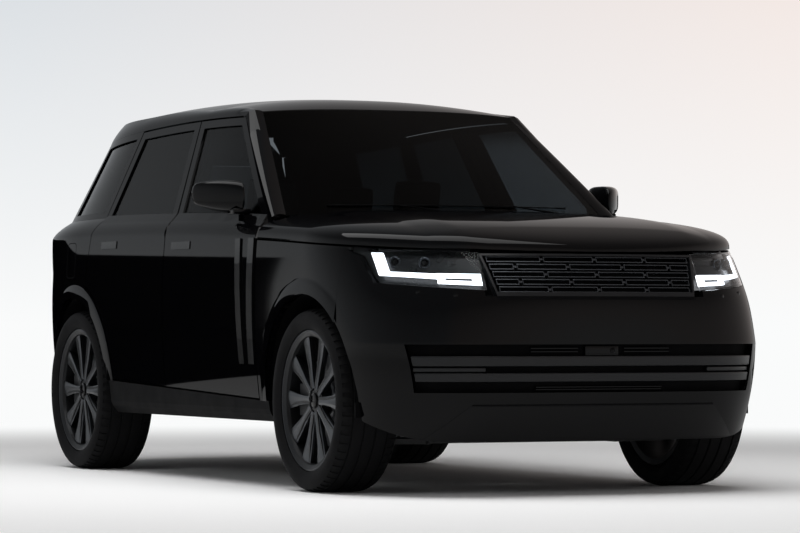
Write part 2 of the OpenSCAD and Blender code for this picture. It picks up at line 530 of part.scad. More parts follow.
// doors: lower part as thick as the whole door, frame round the glass above
door_rows = 13;
function door_z(x, r) = r <= 7 ? mix(sill_top(x) + shut, crease(x), r/7) : r == 8 ? mix(crease(x), belt(x), 0.5)
    : r == 9 ? belt(x) + 12 : r == 10 ? mix(belt(x) + 12, rail(x) - 46, 1/3)
    : r == 11 ? mix(belt(x) + 12, rail(x) - 46, 2/3) : r == 12 ? rail(x) - 46 : rail(x) - shut;
// front edge of the front door: upright, then along the windscreen pillar
function front_edge(z) = z < crease(1000) ? front_door_x
    : z < belt(985) ? mix(front_door_x, 985 - shut, ramp(z, crease(1000), belt(985)))
    : mix(985 - 1.6*shut, 262 - 1.6*shut, ramp(z, belt(985), rail(262)));
function mid_edge(z) = mid_door_x - 50*ramp(z, 1150, 1245) - 150*ramp(z, 1245, 1712);
function rear_edge(z) = z < 925 ? ax_r + sqrt(pow(door_cut_r + shut/2, 2) - pow(max(0, z - axle_h), 2))
    : z < belt(quarter_x) ? mix(quarter_x - 62, quarter_x - 14, ramp(z, 925, 1160)) - 6*ramp(z, 1160, 1262) + shut
    : pillar_front(ramp(z, belt(quarter_x), rail(quarter_x))) + shut;
// grid point of a door, column f from the back edge (0) to the front edge (1), frame insets in mm
door_fs = [0, 1, 2, 3, 4, 5, 6, 7, 8];
function door_x(front, z, c) =
    let (a = front ? mid_edge(z) + shut/2 : rear_edge(z), b = front ? front_edge(z) : mid_edge(z) - shut/2,
         i0 = a + 58, i1 = b - (z > crease(0) + 30 ? 62 : hinge_back + 22))
    c == 0 ? a : c == 7 ? (z > crease(0) + 30 ? b - 30 : b - hinge_back - 14) : c == 8 ? b : mix(i0, i1, (c - 1)/5);
function door_p(front, r, c, t = 0) =
    let (z0 = door_z(front ? 450 : -620, r), x = door_x(front, z0, c), z = door_z(x, r),
         d = t == 0 ? 0 : r >= 9 ? frame_t : r == 8 ? 60 : c >= 7 ? edge_t : c == 0 ? door_t - 12 : door_t)
    [x + (t > 0 && c == 0 ? 8 : 0), side_y(x, z) - d, z + (t > 0 && r == 0 ? 8 : 0)];
module door(front, s) on_side(s) {
    x = front ? front_hinge_x : rear_hinge_x;
    difference() {
        union() {
            shell([for (r = [0:door_rows]) [for (c = [0:8]) door_p(front, r, c)]],
                  [for (r = [0:door_rows]) [for (c = [0:8]) door_p(front, r, c, 1)]],
                  function (r, c) !(r >= 9 && r < 12 && c >= 1 && c < 6));
            // seat of the mirror
            if (front) bar([694, 868, mirror_z - 41], [766, 930, mirror_z]);
            for (z = [620, 980]) for (d = [-36, 16]) {
                translate([x, door_hinge_y, z + d]) cylinder(r = pin_r + 5, h = 20);
                translate([x - 40, door_hinge_y - 12, z + d]) cube([40, 20, 20]);
            }
        }
        for (z = [620, 980]) translate([x, door_hinge_y, z - 40]) cylinder(r = pin_r + run, h = 80);
    }
}
module door_glass(front, s) on_side(s) {
    at = function (r, c, t) let (p = door_p(front, r, c))
        [p.x + (c == 1 ? 3*fit : c == 6 ? -3*fit : 0), p.y - t, p.z + (r == 9 ? fit : r == 12 ? -fit : 0)];
    shell([for (r = [9:12]) [for (c = [1:6]) at(r, c, 9)]], [for (r = [9:12]) [for (c = [1:6]) at(r, c, 9 + glass_t)]]);
}
module door_fl() color("#0f1012") door(true, 1);
module door_fr() color("#0f1012") door(true, -1);
module door_rl() color("#0f1012") door(false, 1);
module door_rr() color("#0f1012") door(false, -1);
module glass_fl() color("#23272c") door_glass(true, 1);
module glass_fr() color("#23272c") door_glass(true, -1);
module glass_rl() color("#23272c") door_glass(false, 1);
module glass_rr() color("#23272c") door_glass(false, -1);

mirror_z = 1236;
// mirror: a head swept back to its tip on a short foot
module mirror_head(s) color("#121315") on_side(s) {
    zm = 1316;
    ring = function (f) let (y = mix(930, 1104.5, f), x0 = 545, x1 = mix(790, 560, pow(f, 1.6)), h = 76*pow(1 - 0.72*f*f, 0.5))
        [for (a = [0:30:330]) [(x0 + x1)/2 + (x1 - x0)/2*spow(cos(a), 0.6), y, zm + 18*f + h*spow(sin(a), 0.6)]];
    rings = [for (f = [0, 0.25, 0.5, 0.75, 0.92, 1]) ring(f)];
    n = len(rings[0]);
    last = (len(rings) - 1)*n;
    // ring sides and two end fans
    polyhedron([for (r = rings) each r], concat(
        [for (i = [1:n - 2]) [0, i + 1, i]], [for (i = [1:n - 2]) [last, last + i, last + i + 1]],
        [for (k = [0:len(rings) - 2]) for (i = [0:n - 1]) let (a = k*n + i, b = k*n + (i + 1)%n)
            each [[a, b, b + n], [a, b + n, a + n]]]));
    bar([690, side_y(690, mirror_z) + 4, mirror_z + fit], [770, 985, 1262]);
}
module mirror_left() mirror_head(1);
module mirror_right() mirror_head(-1);

// side blade and flush handle on the front door, handle on the rear door
module plate(x0, x1, z0, z1, t, lean = 0) {
    at = function (x, z, d) let (xx = x + lean*(z1 - z)) [xx, side_y(xx, z) + 2.5*fit + d, z];
    shell([for (z = lin(z0, z1, 5)) [for (x = lin(x0, x1, 3)) at(x, z, t)]],
          [for (z = lin(z0, z1, 5)) [for (x = lin(x0, x1, 3)) at(x, z, 0)]]);
}
module trim_front(s) color("#33363a") on_side(s) {
    plate(818, 878, 552, 1122, 7, 0.1);
    plate(975, 1042, 552, 1122, 7, 0.02);
    plate(-7, 235, 1086, 1122, 3);
}
module trim_fl() trim_front(1);
module trim_fr() trim_front(-1);
module handle_rl() color("#121315") plate(-987, -770, 1106, 1142, 3);
module handle_rr() color("#121315") on_side(-1) plate(-987, -770, 1106, 1142, 3);

// bonnet: plan patch with its edge on the crease, domed above it
bonnet_knee = 2060;
cowl_gap_x = 1170;
function bonnet_back(y) = max(wing_back, cowl_gap_x - 2e-4*y*y);
module bonnet() color("#131416") {
    us = [for (k = [0:12]) sin(90*k/12)];
    vs = [for (k = [-12:12]) sin(90*k/12)];
    ky = edge_y(bonnet_knee);
    by = edge_y(wing_back);
    front = function (v) abs(v) > 0.999 ? [bonnet_knee, v*ky] : [edge_x(v*ky), v*ky];
    back = function (v) [bonnet_back(v*by), v*by];
    flank = function (u, s) let (x = mix(wing_back, bonnet_knee, u)) [x, s*edge_y(x)];
    plan = function (u, v) let (w = (v + 1)/2)
        (1 - u)*back(v) + u*front(v) + (1 - w)*flank(u, -1) + w*flank(u, 1)
        - (1 - u)*((1 - w)*back(-1) + w*back(1)) - u*((1 - w)*front(-1) + w*front(1));
    outer = function (u, v) let (p = plan(u, v)) [p.x, p.y, bonnet_z(p.x, p.y)];
    inner = function (u, v) let (p = outer(u, v), c = crease(p.x))
        [mix(wing_back, p.x, 0.982), p.y*0.976, mix(c, p.z, 0.8)];
    difference() {
        union() {
            shell([for (u = us) [for (v = vs) outer(u, v)]], [for (u = us) [for (v = vs) inner(u, v)]]);
            for (s = [-1, 1]) {
                bar([lid_x - 6, s*lid_y - 12, lid_z - 8], [lid_x + 190, s*lid_y + 12, lid_z + 10]);
                bar([lid_x + 110, s*lid_y - 12, lid_z - 8], [lid_x + 190, s*lid_y + 12, lid_z + 32]);
                translate([lid_x, s*lid_y - 12, lid_z]) rotate([-90, 0, 0]) cylinder(r = 14, h = 24);
            }
        }
        for (s = [-1, 1]) translate([lid_x, s*lid_y - 20, lid_z]) rotate([-90, 0, 0]) cylinder(r = pin_r + run, h = 40);
    }
}
lid_x = 1060;
lid_y = 740;
lid_z = 1180;

// tailgates
gate_x = roof_end + 24;
gate_z = roof_z(gate_x, 0) - 38;
gate_hinge_y = 200;
gate_split = 1004;
drop_x = -car_l/2 + 18;
drop_z = bumper_top + 32;
drop_hinge_y = 120;
function gate_p(r, f, t) =
    let (zs = [gate_split + shut/2, 1080, 1150, 1210, 1262, 1300, 1400, 1500, 1590, 1640],
         spoiler = back_x(0, 1690) - 14, n = len(zs),
         z = r < n ? zs[r] : zs[n - 1], y = f*gate_y(z))
    r < n ? [back_x(y, z) + (r > 7 && abs(f) > 0.8 ? min(t, 5) : t), y, z]
    : r == n ? let (yy = f*(roof_y(roof_end) + 20)) [spoiler + 2.4e-4*yy*yy + 0.3*t, yy, roof_z(spoiler, yy) - 22 - 0.5*t]
    : let (yy = f*(roof_y(roof_end) - 2), x = [0, 0.5, 1][r - n - 1]) let (xx = mix(spoiler + 12 + 2.4e-4*yy*yy, roof_end - 16, x))
      [xx, yy, roof_z(xx, yy) - min(t, 13)];
module upper_tailgate() color("#0f1012") difference() {
    union() {
        fs = [-1, -0.86, -0.72, -0.5, -0.25, 0, 0.25, 0.5, 0.72, 0.86, 1];
        shell([for (r = [0:13]) [for (f = fs) gate_p(r, f, 0)]], [for (r = [0:13]) [for (f = fs) gate_p(r, f, 38)]],
              function (r, c) !(r >= 5 && r < 8 && c >= 1 && c < 9));
        for (s = [-1, 1]) for (d = [-27, 15]) {
            translate([gate_x, s*gate_hinge_y + d, gate_z]) rotate([-90, 0, 0]) cylinder(r = 12, h = 12);
            bar([gate_x - 58, s*gate_hinge_y + d, gate_z + 4], [gate_x, s*gate_hinge_y + d + 12, gate_z + 12]);
            bar([gate_x - 62, s*gate_hinge_y + d, gate_z + 4], [gate_x - 46, s*gate_hinge_y + d + 12, gate_z + 26]);
        }
    }
    for (s = [-1, 1]) translate([gate_x, s*gate_hinge_y - 40, gate_z]) rotate([-90, 0, 0]) cylinder(r = pin_r + run, h = 80);
}
module rear_glass() color("#23272c") {
    fs = [-0.86, -0.72, -0.5, -0.25, 0, 0.25, 0.5, 0.72, 0.86];
    at = function (r, f, t) let (p = gate_p(r, f, 0))
        [p.x + 9 + t, p.y - (abs(f) > 0.85 ? fit*sign(f) : 0), p.z + (r == 5 ? fit : r == 8 ? -fit : 0)];
    shell([for (r = [5:8]) [for (f = fs) at(r, f, 0)]], [for (r = [5:8]) [for (f = fs) at(r, f, glass_t)]]);
}
module lower_tailgate() color("#0f1012") difference() {
    union() {
        top = gate_split - shut/2;
        zs = [bumper_top + shut + 4, drop_z + 20, drop_z + 26, 920, top];
        zi = [bumper_top + shut + 4, drop_z + 20, drop_z + 26, 900, top - 42];
        ys = lin(-gate_half, gate_half, 12);
        shell([for (z = zs) [for (y = ys) rear_p(y, z)]],
              [for (r = [0:4]) [for (y = ys) rear_p(y, zi[r], r < 2 ? 5 : 44)]]);
        for (s = [-1, 1]) for (d = [-32, 16]) {
            translate([drop_x, s*drop_hinge_y + d, drop_z]) rotate([-90, 0, 0]) cylinder(r = 11.5, h = 16);
            bar([drop_x - 8, s*drop_hinge_y + d, drop_z], [drop_x + 12, s*drop_hinge_y + d + 16, drop_z + 48]);
        }
    }
    for (s = [-1, 1]) translate([drop_x, s*drop_hinge_y - 40, drop_z])
        rotate([-90, 0, 0]) cylinder(r = pin_r + run, h = 80);
}

// cabin
wheel_c = [560, 380, 1010];
wheel_tilt = 24;
module dashboard() color("#2a2a2c") {
    translate([0, pillar_y - 161, 0]) rotate([90, 0, 0]) linear_extrude(2*(pillar_y - 161)) polygon([
        [wall_x - fit, 700], [wall_x - fit, 1150], [1060, 1188], [960, 1176], [820, 1130], [760, 1080],
        [752, 1000], [830, 940], [900, 700]]);
    // console and steering column
    bar([150, -128, floor_z + floor_t + fit], [930, 128, 740]);
    translate(wheel_c) rotate([0, -90 + wheel_tilt, 0]) {
        translate([0, 0, -330]) cylinder(r = 38, h = 300);
        translate([0, 0, -60]) cylinder(r = 12, h = 90);
    }
}
module steering_wheel() color("#1c1c1e") translate(wheel_c) rotate([0, -90 + wheel_tilt, 0]) difference() {
    union() {
        rotate_extrude() translate([178, 0]) circle(r = 15);
        cylinder(r = 55, h = 34);
        for (a = [-90, 0, 180]) rotate(a + 90) translate([0, -16, -6]) cube([174, 32, 14]);
        translate([0, 0, -12]) cylinder(r = 30, h = 20);
    }
    translate([0, 0, -20]) cylinder(r = 12 + run, h = 52);
}
module seat_profile(w) rotate([90, 0, 0]) translate([0, 0, -w/2]) linear_extrude(w) polygon([
    [0, 420], [520, 420], [545, 560], [530, 640], [120, 610], [60, 700], [-190, 1210], [-290, 1225], [-320, 1190],
    [-120, 640], [-60, 500]]);
module seats() color("#3b3633") {
    for (s = [-1, 1]) translate([60, s*390, 0]) {
        bar([20, -180, floor_z + floor_t + fit], [440, 180, 440]);
        translate([0, 0, 20]) seat_profile(500);
        translate([-262, 0, 1240]) rotate([0, -14, 0]) bar([-30, -120, -30], [50, 120, 190]);
    }
    translate([-830, 0, 0]) {
        bar([20, -520, floor_z + floor_t + fit], [440, 520, 440]);
        translate([0, 0, 20]) seat_profile(1240);
        for (y = [-400, 0, 400]) translate([-262, y, 1240]) rotate([0, -14, 0]) bar([-30, -110, -30], [50, 110, 160]);
    }
}

// engine and running gear
sub_z = 250;
module engine_block() color("#55585c") {
    bar([ax_f - 330, -290, sub_z + 80 + fit], [ax_f + 330, 290, 560]);
    bar([ax_f - 330, -330, 540], [ax_f + 330, 330, 960]);
}
module front_axle() color("#4a4c50") {
    bar([ax_f - 150, -rail_y, sub_z - 40], [ax_f + 150, rail_y, sub_z + 40]);
    bar([ax_f - 130, -330, sub_z + 30], [ax_f + 130, 330, sub_z + 80]);
    both() {
        bar([ax_f - 60, 405, sub_z + 30], [ax_f + 60, rail_y - 4, 480 - fit]);
        arm(sub_z - 44, 24);
        arm(570 + fit, 22);
        translate([ax_f, kingpin_y, sub_z - 30]) cylinder(r = kingpin_r, h = 50);
        translate([ax_f, kingpin_y, 532]) cylinder(r = kingpin_r, h = 50);
    }
}
kingpin_y = track/2 - kingpin_in;
module arm(z, h) translate([0, 0, z]) {
    linear_extrude(h) polygon([[ax_f - 135, rail_y - 12], [ax_f + 135, rail_y - 12], [ax_f + 30, kingpin_y], [ax_f - 30, kingpin_y]]);
    translate([ax_f, kingpin_y, 0]) cylinder(r = 32, h = h);
}
module carrier() {
    translate([0, 0, -86]) cylinder(r = 62, h = 78);
    translate([0, 0, -70]) cylinder(r = shaft_r, h = 128);
    // brake caliper over the disc
    difference() {
        translate([-disc_r - 38, -70, -24]) cube([120, 140, 88]);
        cylinder(r = disc_r + 6, h = 44);
    }
    translate([-disc_r + 40, -30, -40]) cube([disc_r - 60, 60, 34]);
}
module knuckle(s) color("#5c5f63") difference() {
    union() {
        at_wheel(ax_f, s) carrier();
        translate([ax_f, s*kingpin_y, axle_h - 160]) cylinder(r = 26, h = 320);
    }
    translate([ax_f, s*kingpin_y, axle_h - 161]) cylinder(r = kingpin_r + run, h = 33);
    translate([ax_f, s*kingpin_y, axle_h + 128]) cylinder(r = kingpin_r + run, h = 33);
}
module knuckle_left() knuckle(1);
module knuckle_right() knuckle(-1);
module rear_axle() color("#4a4c50") {
    bar([ax_r - 160, -480, 330], [ax_r + 118, 480, 430]);
    both() {
        bar([ax_r - 45, 470, 350], [ax_r + 45, track/2 - 70, 410]);
        bar([ax_r - 60, 494, 420], [ax_r + 60, 540, 560 - fit]);
        bar([ax_r - 60, 470, 380], [ax_r + 60, 540, 430]);
    }
    for (s = [-1, 1]) at_wheel(ax_r, s) carrier();
}
module rod(a, b, r) {
    d = b - a;
    translate(a) rotate([0, acos(d.z/norm(d)), atan2(d.y, d.x)]) cylinder(r = r, h = norm(d));
    translate(b) sphere(r = r + 2);
}
module exhaust() color("#6a6c6e") {
    translate([-2170, -430, 430]) rotate([-90, 0, 0]) linear_extrude(860) {
        translate([-70, 0]) circle(r = 85); translate([70, 0]) circle(r = 85); square([140, 170], center = true);
    }
    both() {
        translate([-2170, 300, 500]) cylinder(r = 10, h = load_z - 500 - fit);
        rod([-2120, 300, 470], [-1250, 300, 470], 32);
        rod([-1250, 300, 470], [-1060, 260, 345], 32);
        rod([-1060, 260, 345], [60, 120, 345], 32);
    }
    bar([20, -200, 290], [520, 200, 380]);
}

// wheel, tyre and brake disc about the axle, local z outward
module rim() difference() {
    union() {
        rotate_extrude($fn = 96) polygon([[rim_r - 14, -118], [rim_r + 14, -124], [rim_r + 16, -120], [rim_r + 16, -112], [rim_r, -111],
            [rim_r, 111], [rim_r + 16, 112], [rim_r + 16, 121], [rim_r + 8, 123], [rim_r - 10, 112], [rim_r - 14, 96]]);
        for (i = [0:spokes - 1]) rotate(360*i/spokes) spoke();
        translate([0, 0, 47 + fit]) cylinder(r = 78, h = 46);
        translate([0, 0, 80]) cylinder(r = 34, h = 20);
    }
    translate([0, 0, 40]) cylinder(r = shaft_r + 5, h = 24);
    for (i = [0:4]) rotate(72*i + 36) translate([56, 0, 74]) cylinder(r = 11, h = 40);
}
module spoke() difference() {
    translate([0, 0, 70]) linear_extrude(28) polygon([[50, -16], [150, -14], [rim_r - 4, -32], [rim_r - 4, 32], [150, 14], [50, 16]]);
    translate([0, 0, 88]) linear_extrude(20) polygon([[100, -2], [rim_r - 8, -15], [rim_r - 8, 15], [100, 2]]);
}
module tyre() rotate_extrude($fn = 96) let (b = rim_r + fit, h = tyre_w/2) polygon([
    [b, -110], [rim_r + 16 + fit, -111.5], [rim_r + 19, -h + 18], [rim_r + 45, -h + 2], [rim_r + 62, -h], [tyre_r - 22, -h + 6], [tyre_r - 5, -h + 26], [tyre_r, -h + 52],
    [tyre_r, h - 52], [tyre_r - 5, h - 26], [tyre_r - 22, h - 6], [rim_r + 62, h], [rim_r + 45, h - 2], [rim_r + 19, h - 18], [rim_r + 16 + fit, 111.5], [b, 110]]);
module disc() rotate_extrude($fn = 96) polygon([[shaft_r + run, 5], [disc_r, 5], [disc_r, 39], [96, 39], [90, 47], [shaft_r + run, 47]]);
module wheel_fl() color("#4d5054") at_wheel(ax_f, 1) rim();
module wheel_fr() color("#4d5054") at_wheel(ax_f, -1) rim();
module wheel_rl() color("#4d5054") at_wheel(ax_r, 1) rim();
module wheel_rr() color("#4d5054") at_wheel(ax_r, -1) rim();
module tyre_fl() color("#1a1a1b") at_wheel(ax_f, 1) tyre();
module tyre_fr() color("#1a1a1b") at_wheel(ax_f, -1) tyre();
module tyre_rl() color("#1a1a1b") at_wheel(ax_r, 1) tyre();
module tyre_rr() color("#1a1a1b") at_wheel(ax_r, -1) tyre();
module disc_fl() color("#8a8c8e") at_wheel(ax_f, 1) disc();
module disc_fr() color("#8a8c8e") at_wheel(ax_f, -1) disc();
module disc_rl() color("#8a8c8e") at_wheel(ax_r, 1) disc();
module disc_rr() color("#8a8c8e") at_wheel(ax_r, -1) disc();

floor_pan();
rear_floor();
rear_liners();
pillars();
sills();
side_rails();
quarter_panels();
roof_panel();
front_wings();
front_bumper();
intake_bars();
grille();
headlamps();
tail_lamps();
rear_bumper();
cowl();
windscreen();
quarter_glass();
dashboard();
seats();
engine_block();
front_axle();
rear_axle();
exhaust();
bonnet();
upper_tailgate();
rear_glass();
lower_tailgate();
knuckle_left();
knuckle_right();
steering_wheel();
wheel_fl();
wheel_fr();
wheel_rl();
wheel_rr();
tyre_fl();
tyre_fr();
tyre_rl();
tyre_rr();
disc_fl();
disc_fr();
disc_rl();
disc_rr();
door_fl();
door_fr();
door_rl();
door_rr();
glass_fl();
glass_fr();
glass_rl();
glass_rr();
mirror_left();
mirror_right();
trim_fl();
trim_fr();
handle_rl();
handle_rr();
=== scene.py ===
import json
import math

import bmesh
import bpy
from mathutils import Matrix, Vector


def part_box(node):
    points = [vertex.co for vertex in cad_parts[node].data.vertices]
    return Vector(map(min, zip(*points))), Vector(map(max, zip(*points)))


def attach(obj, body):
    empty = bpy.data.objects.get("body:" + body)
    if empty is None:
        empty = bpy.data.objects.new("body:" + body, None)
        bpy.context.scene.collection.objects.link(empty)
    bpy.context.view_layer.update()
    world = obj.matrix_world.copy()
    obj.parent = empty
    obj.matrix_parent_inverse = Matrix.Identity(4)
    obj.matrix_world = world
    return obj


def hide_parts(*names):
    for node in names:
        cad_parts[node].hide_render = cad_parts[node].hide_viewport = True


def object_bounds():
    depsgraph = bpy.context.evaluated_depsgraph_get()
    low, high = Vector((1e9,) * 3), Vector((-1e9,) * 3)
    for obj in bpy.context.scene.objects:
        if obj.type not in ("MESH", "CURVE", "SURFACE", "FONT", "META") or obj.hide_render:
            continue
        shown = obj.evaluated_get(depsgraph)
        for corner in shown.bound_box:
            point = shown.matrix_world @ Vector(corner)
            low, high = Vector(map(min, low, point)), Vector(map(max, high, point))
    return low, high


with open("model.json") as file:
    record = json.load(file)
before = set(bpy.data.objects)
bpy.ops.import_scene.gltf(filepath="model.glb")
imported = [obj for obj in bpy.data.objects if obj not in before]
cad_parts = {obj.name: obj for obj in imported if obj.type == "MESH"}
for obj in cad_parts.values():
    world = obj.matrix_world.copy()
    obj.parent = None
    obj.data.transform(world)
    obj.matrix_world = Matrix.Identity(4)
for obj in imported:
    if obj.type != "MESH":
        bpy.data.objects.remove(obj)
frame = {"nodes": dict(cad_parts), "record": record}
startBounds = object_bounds()
mm = 0.001

# the car's driving sizes in mm; the axles and the tyre are read off the frame
car = {"length": 5052, "width": 2004, "roof": 1852, "crease": 1155, "beltRise": 95, "beltHalf": 905,
       "railHalf": 720, "railHeight": 1724, "bonnetRise": 129, "shut": 9, "arch": 465, "railBand": 74}


def boxMm(node):
    low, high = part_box(node)
    return low / mm, high / mm


tyreLow, tyreHigh = boxMm("tyre_fl")
axleFront = (tyreLow.x + tyreHigh.x) / 2
axleRear = sum(corner.x for corner in boxMm("tyre_rl")) / 2
axleHeight = (tyreLow.z + tyreHigh.z) / 2
wheelPlane = (tyreLow.y + tyreHigh.y) / 2
noseStart, tailStart, cabinStart = axleFront - 25, axleRear + 72, axleRear + 372
headerX, roofEnd = 335, axleRear - 742
roofStart, pillarFoot, pillarTop = headerX - 42, 985, 262
screenZ, screenHalf = 1228, 810
frontDoorX, midDoorX, quarterX = 1060, -105, -1150
wingBack, wingFront = frontDoorX + car["shut"], axleFront + 320
doorCut = car["arch"] + 76
tailY, gateHalf, bumperTop, gateSplit = 690, 592, 800, 1004
intakeLow, intakeHigh, grilleLow = 440, 651, 850
hands = (("Left", 1), ("Right", -1))


def mix(a, b, u):
    return a + (b - a) * u


def ramp(v, a, b):
    return min(max((v - a) / (b - a), 0), 1)


def signedPower(v, p):
    return math.copysign(abs(v) ** p, v)


def piecewise(v, stops):
    for (v0, a), (v1, b) in zip(stops, stops[1:]):
        if v <= v1:
            return mix(a, b, ramp(v, v0, v1))
    return stops[-1][1]


# body lines, the same as in the part's source
def crease(x):
    return car["crease"] - 0.0243 * x - 9e-6 * x * x


def belt(x):
    return crease(x) + car["beltRise"]


def rail(x):
    return car["railHeight"] - 2.6e-5 * (x + 250) ** 2


def barrel(z):
    return car["width"] / 2 - 36 * ((z - 820) / 500) ** 2


def cabin(z):
    return car["beltHalf"] - (car["beltHalf"] - car["railHalf"]) * (z - 1250) / 470


def rounded(x, x0, x1, n):
    return max(0, 1 - ramp(x, x0, x1) ** n) ** (1 / n)


def noseX(z):
    lean = 0.21 * (math.sqrt((z - 840) ** 2 + 2500) + z - 840)
    return car["length"] / 2 + 1.4 - lean - (8e-4 * (600 - z) ** 2 if z < 600 else 0)


def noseN(z):
    return mix(3.45, 2.32, ramp(z, 650, 1064))


def tailX(z):
    if z < 850:
        return car["length"] / 2 - 3.6e-4 * (850 - z) ** 2
    return car["length"] / 2 - (3.9e-4 * (z - 850) ** 2 if z < 1240 else 59.3 + 0.565 * (z - 1240))


def tailN(z):
    return mix(2.52, 2.9, ramp(z, 990, 1240))


def lowY(x, z):
    if x > noseStart:
        return barrel(z) * rounded(x, noseStart, noseX(z), noseN(z))
    return barrel(z) * rounded(-x, -tailStart, tailX(z), tailN(z))


def cabinY(x, z):
    if x > 0:
        return cabin(z) * (1 - 0.037 * (x / 985) ** 2)
    return cabin(z) * rounded(-x, -cabinStart, tailX(z), mix(3, 2.7, ramp(z, 1264, 1674)))


def sideY(x, z):
    c, b = crease(x), belt(x)
    if z <= c:
        return lowY(x, z)
    if z >= b:
        return cabinY(x, z)
    return mix(lowY(x, c), cabinY(x, b), ((z - c) / (b - c)) ** 1.6)


def halve(inside, a, b):
    for _ in range(26):
        m = (a + b) / 2
        a, b = (m, b) if inside(m) else (a, m)
    return (a + b) / 2


def backX(y, z):
    return halve(lambda x: sideY(x, z) > abs(y), -1500, -car["length"] / 2)


def noseP(w, z, t=0):
    n = noseN(z)
    reach = noseX(z) - noseStart - t
    return (noseStart + reach * abs(math.cos(w)) ** (2 / n),
            (barrel(z) - t) * signedPower(math.sin(w), 2 / n), z)


def noseW(x, z):
    return math.acos(ramp(x, noseStart, noseX(z)) ** (noseN(z) / 2))


def roofZ(x, y):
    crown = mix(55, 30, ramp(-x, 1200, 2100)) if x < -300 else mix(55, 22, ramp(x, -300, 330))
    return (car["roof"] - (4.6e-5 if x > -850 else 5.4e-5) * (x + 850) ** 2
            - 35 * (max(0, x + 50) / 400) ** 2 - crown * (abs(y) / 600) ** 2.4)


def roofY(x):
    return cabinY(x, rail(x)) - car["railBand"]


def header(y):
    return headerX - 1e-4 * y * y


def screenP(f, g):
    yb, yt = f * screenHalf, f * roofY(roofStart)
    foot = Vector((1102 - 2e-4 * yb * yb, yb, screenZ))
    top = Vector((header(yt), yt, roofZ(header(yt), yt)))
    return foot.lerp(top, g) + Vector((0.6, 0, 0.8)) * 14 * (1 - f * f) * 4 * g * (1 - g)


def edgeY(x):
    return lowY(x, crease(x))


def edgeX(y):
    return halve(lambda x: edgeY(x) > abs(y), noseStart, car["length"] / 2)


def bonnetZ(x, y):
    lift = car["bonnetRise"] * rounded(x, 1400, noseX(crease(2440)), 2.4)
    dome = 9 * ramp(680 - abs(y), 0, 135) * ramp(car["length"] / 2 - 90 - x, 0, 190)
    return crease(x) + lift * max(0, 1 - min(1, abs(y) / max(1, edgeY(x))) ** 3) ** (1 / 3) + dome


def sillTop(x):
    return 425 - 0.0327 * x


def archZ(x, axle, r):
    return axleHeight + math.sqrt(max(0, r * r - (x - axle) ** 2))


def archDx(z, r):
    return math.sqrt(max(0, r * r - max(0, z - axleHeight) ** 2))


def gateY(z):
    return mix(gateHalf, sideY(roofEnd, rail(roofEnd)) - car["shut"], ramp(z, 1215, rail(roofEnd)))


# colours are written as sRGB hex
def linear(hexColour):
    values = [int(hexColour[i:i + 2], 16) / 255 for i in (1, 3, 5)]
    return tuple(v / 12.92 if v <= 0.04045 else ((v + 0.055) / 1.055) ** 2.4 for v in values) + (1,)


def addNode(material, kind, settings=None, links=None):
    node = material.node_tree.nodes.new(kind)
    for key, value in (settings or {}).items():
        if isinstance(key, int) or key in node.inputs:
            node.inputs[key].default_value = value
        else:
            setattr(node, key, value)
    for key, source in (links or {}).items():
        material.node_tree.links.new(source, node.inputs[key])
    return node


# shorter words for the shader's inputs
inputNames = {"specular": "Specular IOR Level", "metal": "Metallic", "ior": "IOR", "clear": "Transmission Weight",
              "coat": "Coat Weight", "coatRoughness": "Coat Roughness", "coatIor": "Coat IOR",
              "glow": "Emission Strength", "glowColour": "Emission Color"}


def newMaterial(name, colour, roughness, build=None, **extra):
    material = bpy.data.materials.new(name)
    material.use_nodes = True
    shader = material.node_tree.nodes["Principled BSDF"]
    shader.inputs["Base Color"].default_value = linear(colour)
    shader.inputs["Roughness"].default_value = roughness
    for key, value in extra.items():
        shader.inputs[inputNames[key]].default_value = value
    if build:
        build(material, shader)
    return material


# noise of a given width in mm as a bump of a given depth
def bumpNoise(material, shader, width, detail, strength, depth):
    place = addNode(material, "ShaderNodeTexCoord").outputs["Object"]
    noise = addNode(material, "ShaderNodeTexNoise", {"Scale": 1 / (width * mm), "Detail": detail}, {"Vector": place})
    bump = addNode(material, "ShaderNodeBump", {"Strength": strength, "Distance": depth * mm},
                   {"Height": noise.outputs[0]})
    material.node_tree.links.new(bump.outputs["Normal"], shader.inputs["Normal"])
    return place


# fine grain as a bump and an uneven sheen: grit is the grain width, patch the width of a duller spot, both in mm;
# most grains are drawn coarser than life, because the real ones are too fine to show
def grain(grit, strength, depth, patch=90, spread=0.05):
    def build(material, shader):
        place = bumpNoise(material, shader, grit, 2.0, strength, depth)
        cloud = addNode(material, "ShaderNodeTexNoise", {"Scale": 1 / (patch * mm), "Detail": 3.0}, {"Vector": place})
        middle = shader.inputs["Roughness"].default_value
        sheen = addNode(material, "ShaderNodeMapRange", {"From Min": 0.3, "From Max": 0.7,
                        "To Min": max(0.0, middle - spread), "To Max": middle + spread}, {"Value": cloud.outputs[0]})
        material.node_tree.links.new(sheen.outputs[0], shader.inputs["Roughness"])
    return build


# shallow marks left by machining, drawn coarser than life so that they show; width in mm
def machined(width, depth):
    return lambda material, shader: bumpNoise(material, shader, width, 3.0, 0.3, depth)


# glass that is tinted deeper towards the roof, as a shade band; heights in mm
def shadeBand(low, high, deep):
    def build(material, shader):
        place = addNode(material, "ShaderNodeTexCoord").outputs["Object"]
        height = addNode(material, "ShaderNodeSeparateXYZ", {}, {0: place}).outputs["Z"]
        rise = addNode(material, "ShaderNodeMapRange", {"interpolation_type": "SMOOTHSTEP", "From Min": low * mm,
                       "From Max": high * mm}, {"Value": height})
        tint = addNode(material, "ShaderNodeMix", {"data_type": "RGBA", 6: shader.inputs["Base Color"].default_value,
                       7: linear(deep)}, {0: rise.outputs[0]})
        material.node_tree.links.new(tint.outputs[2], shader.inputs["Base Color"])
    return build


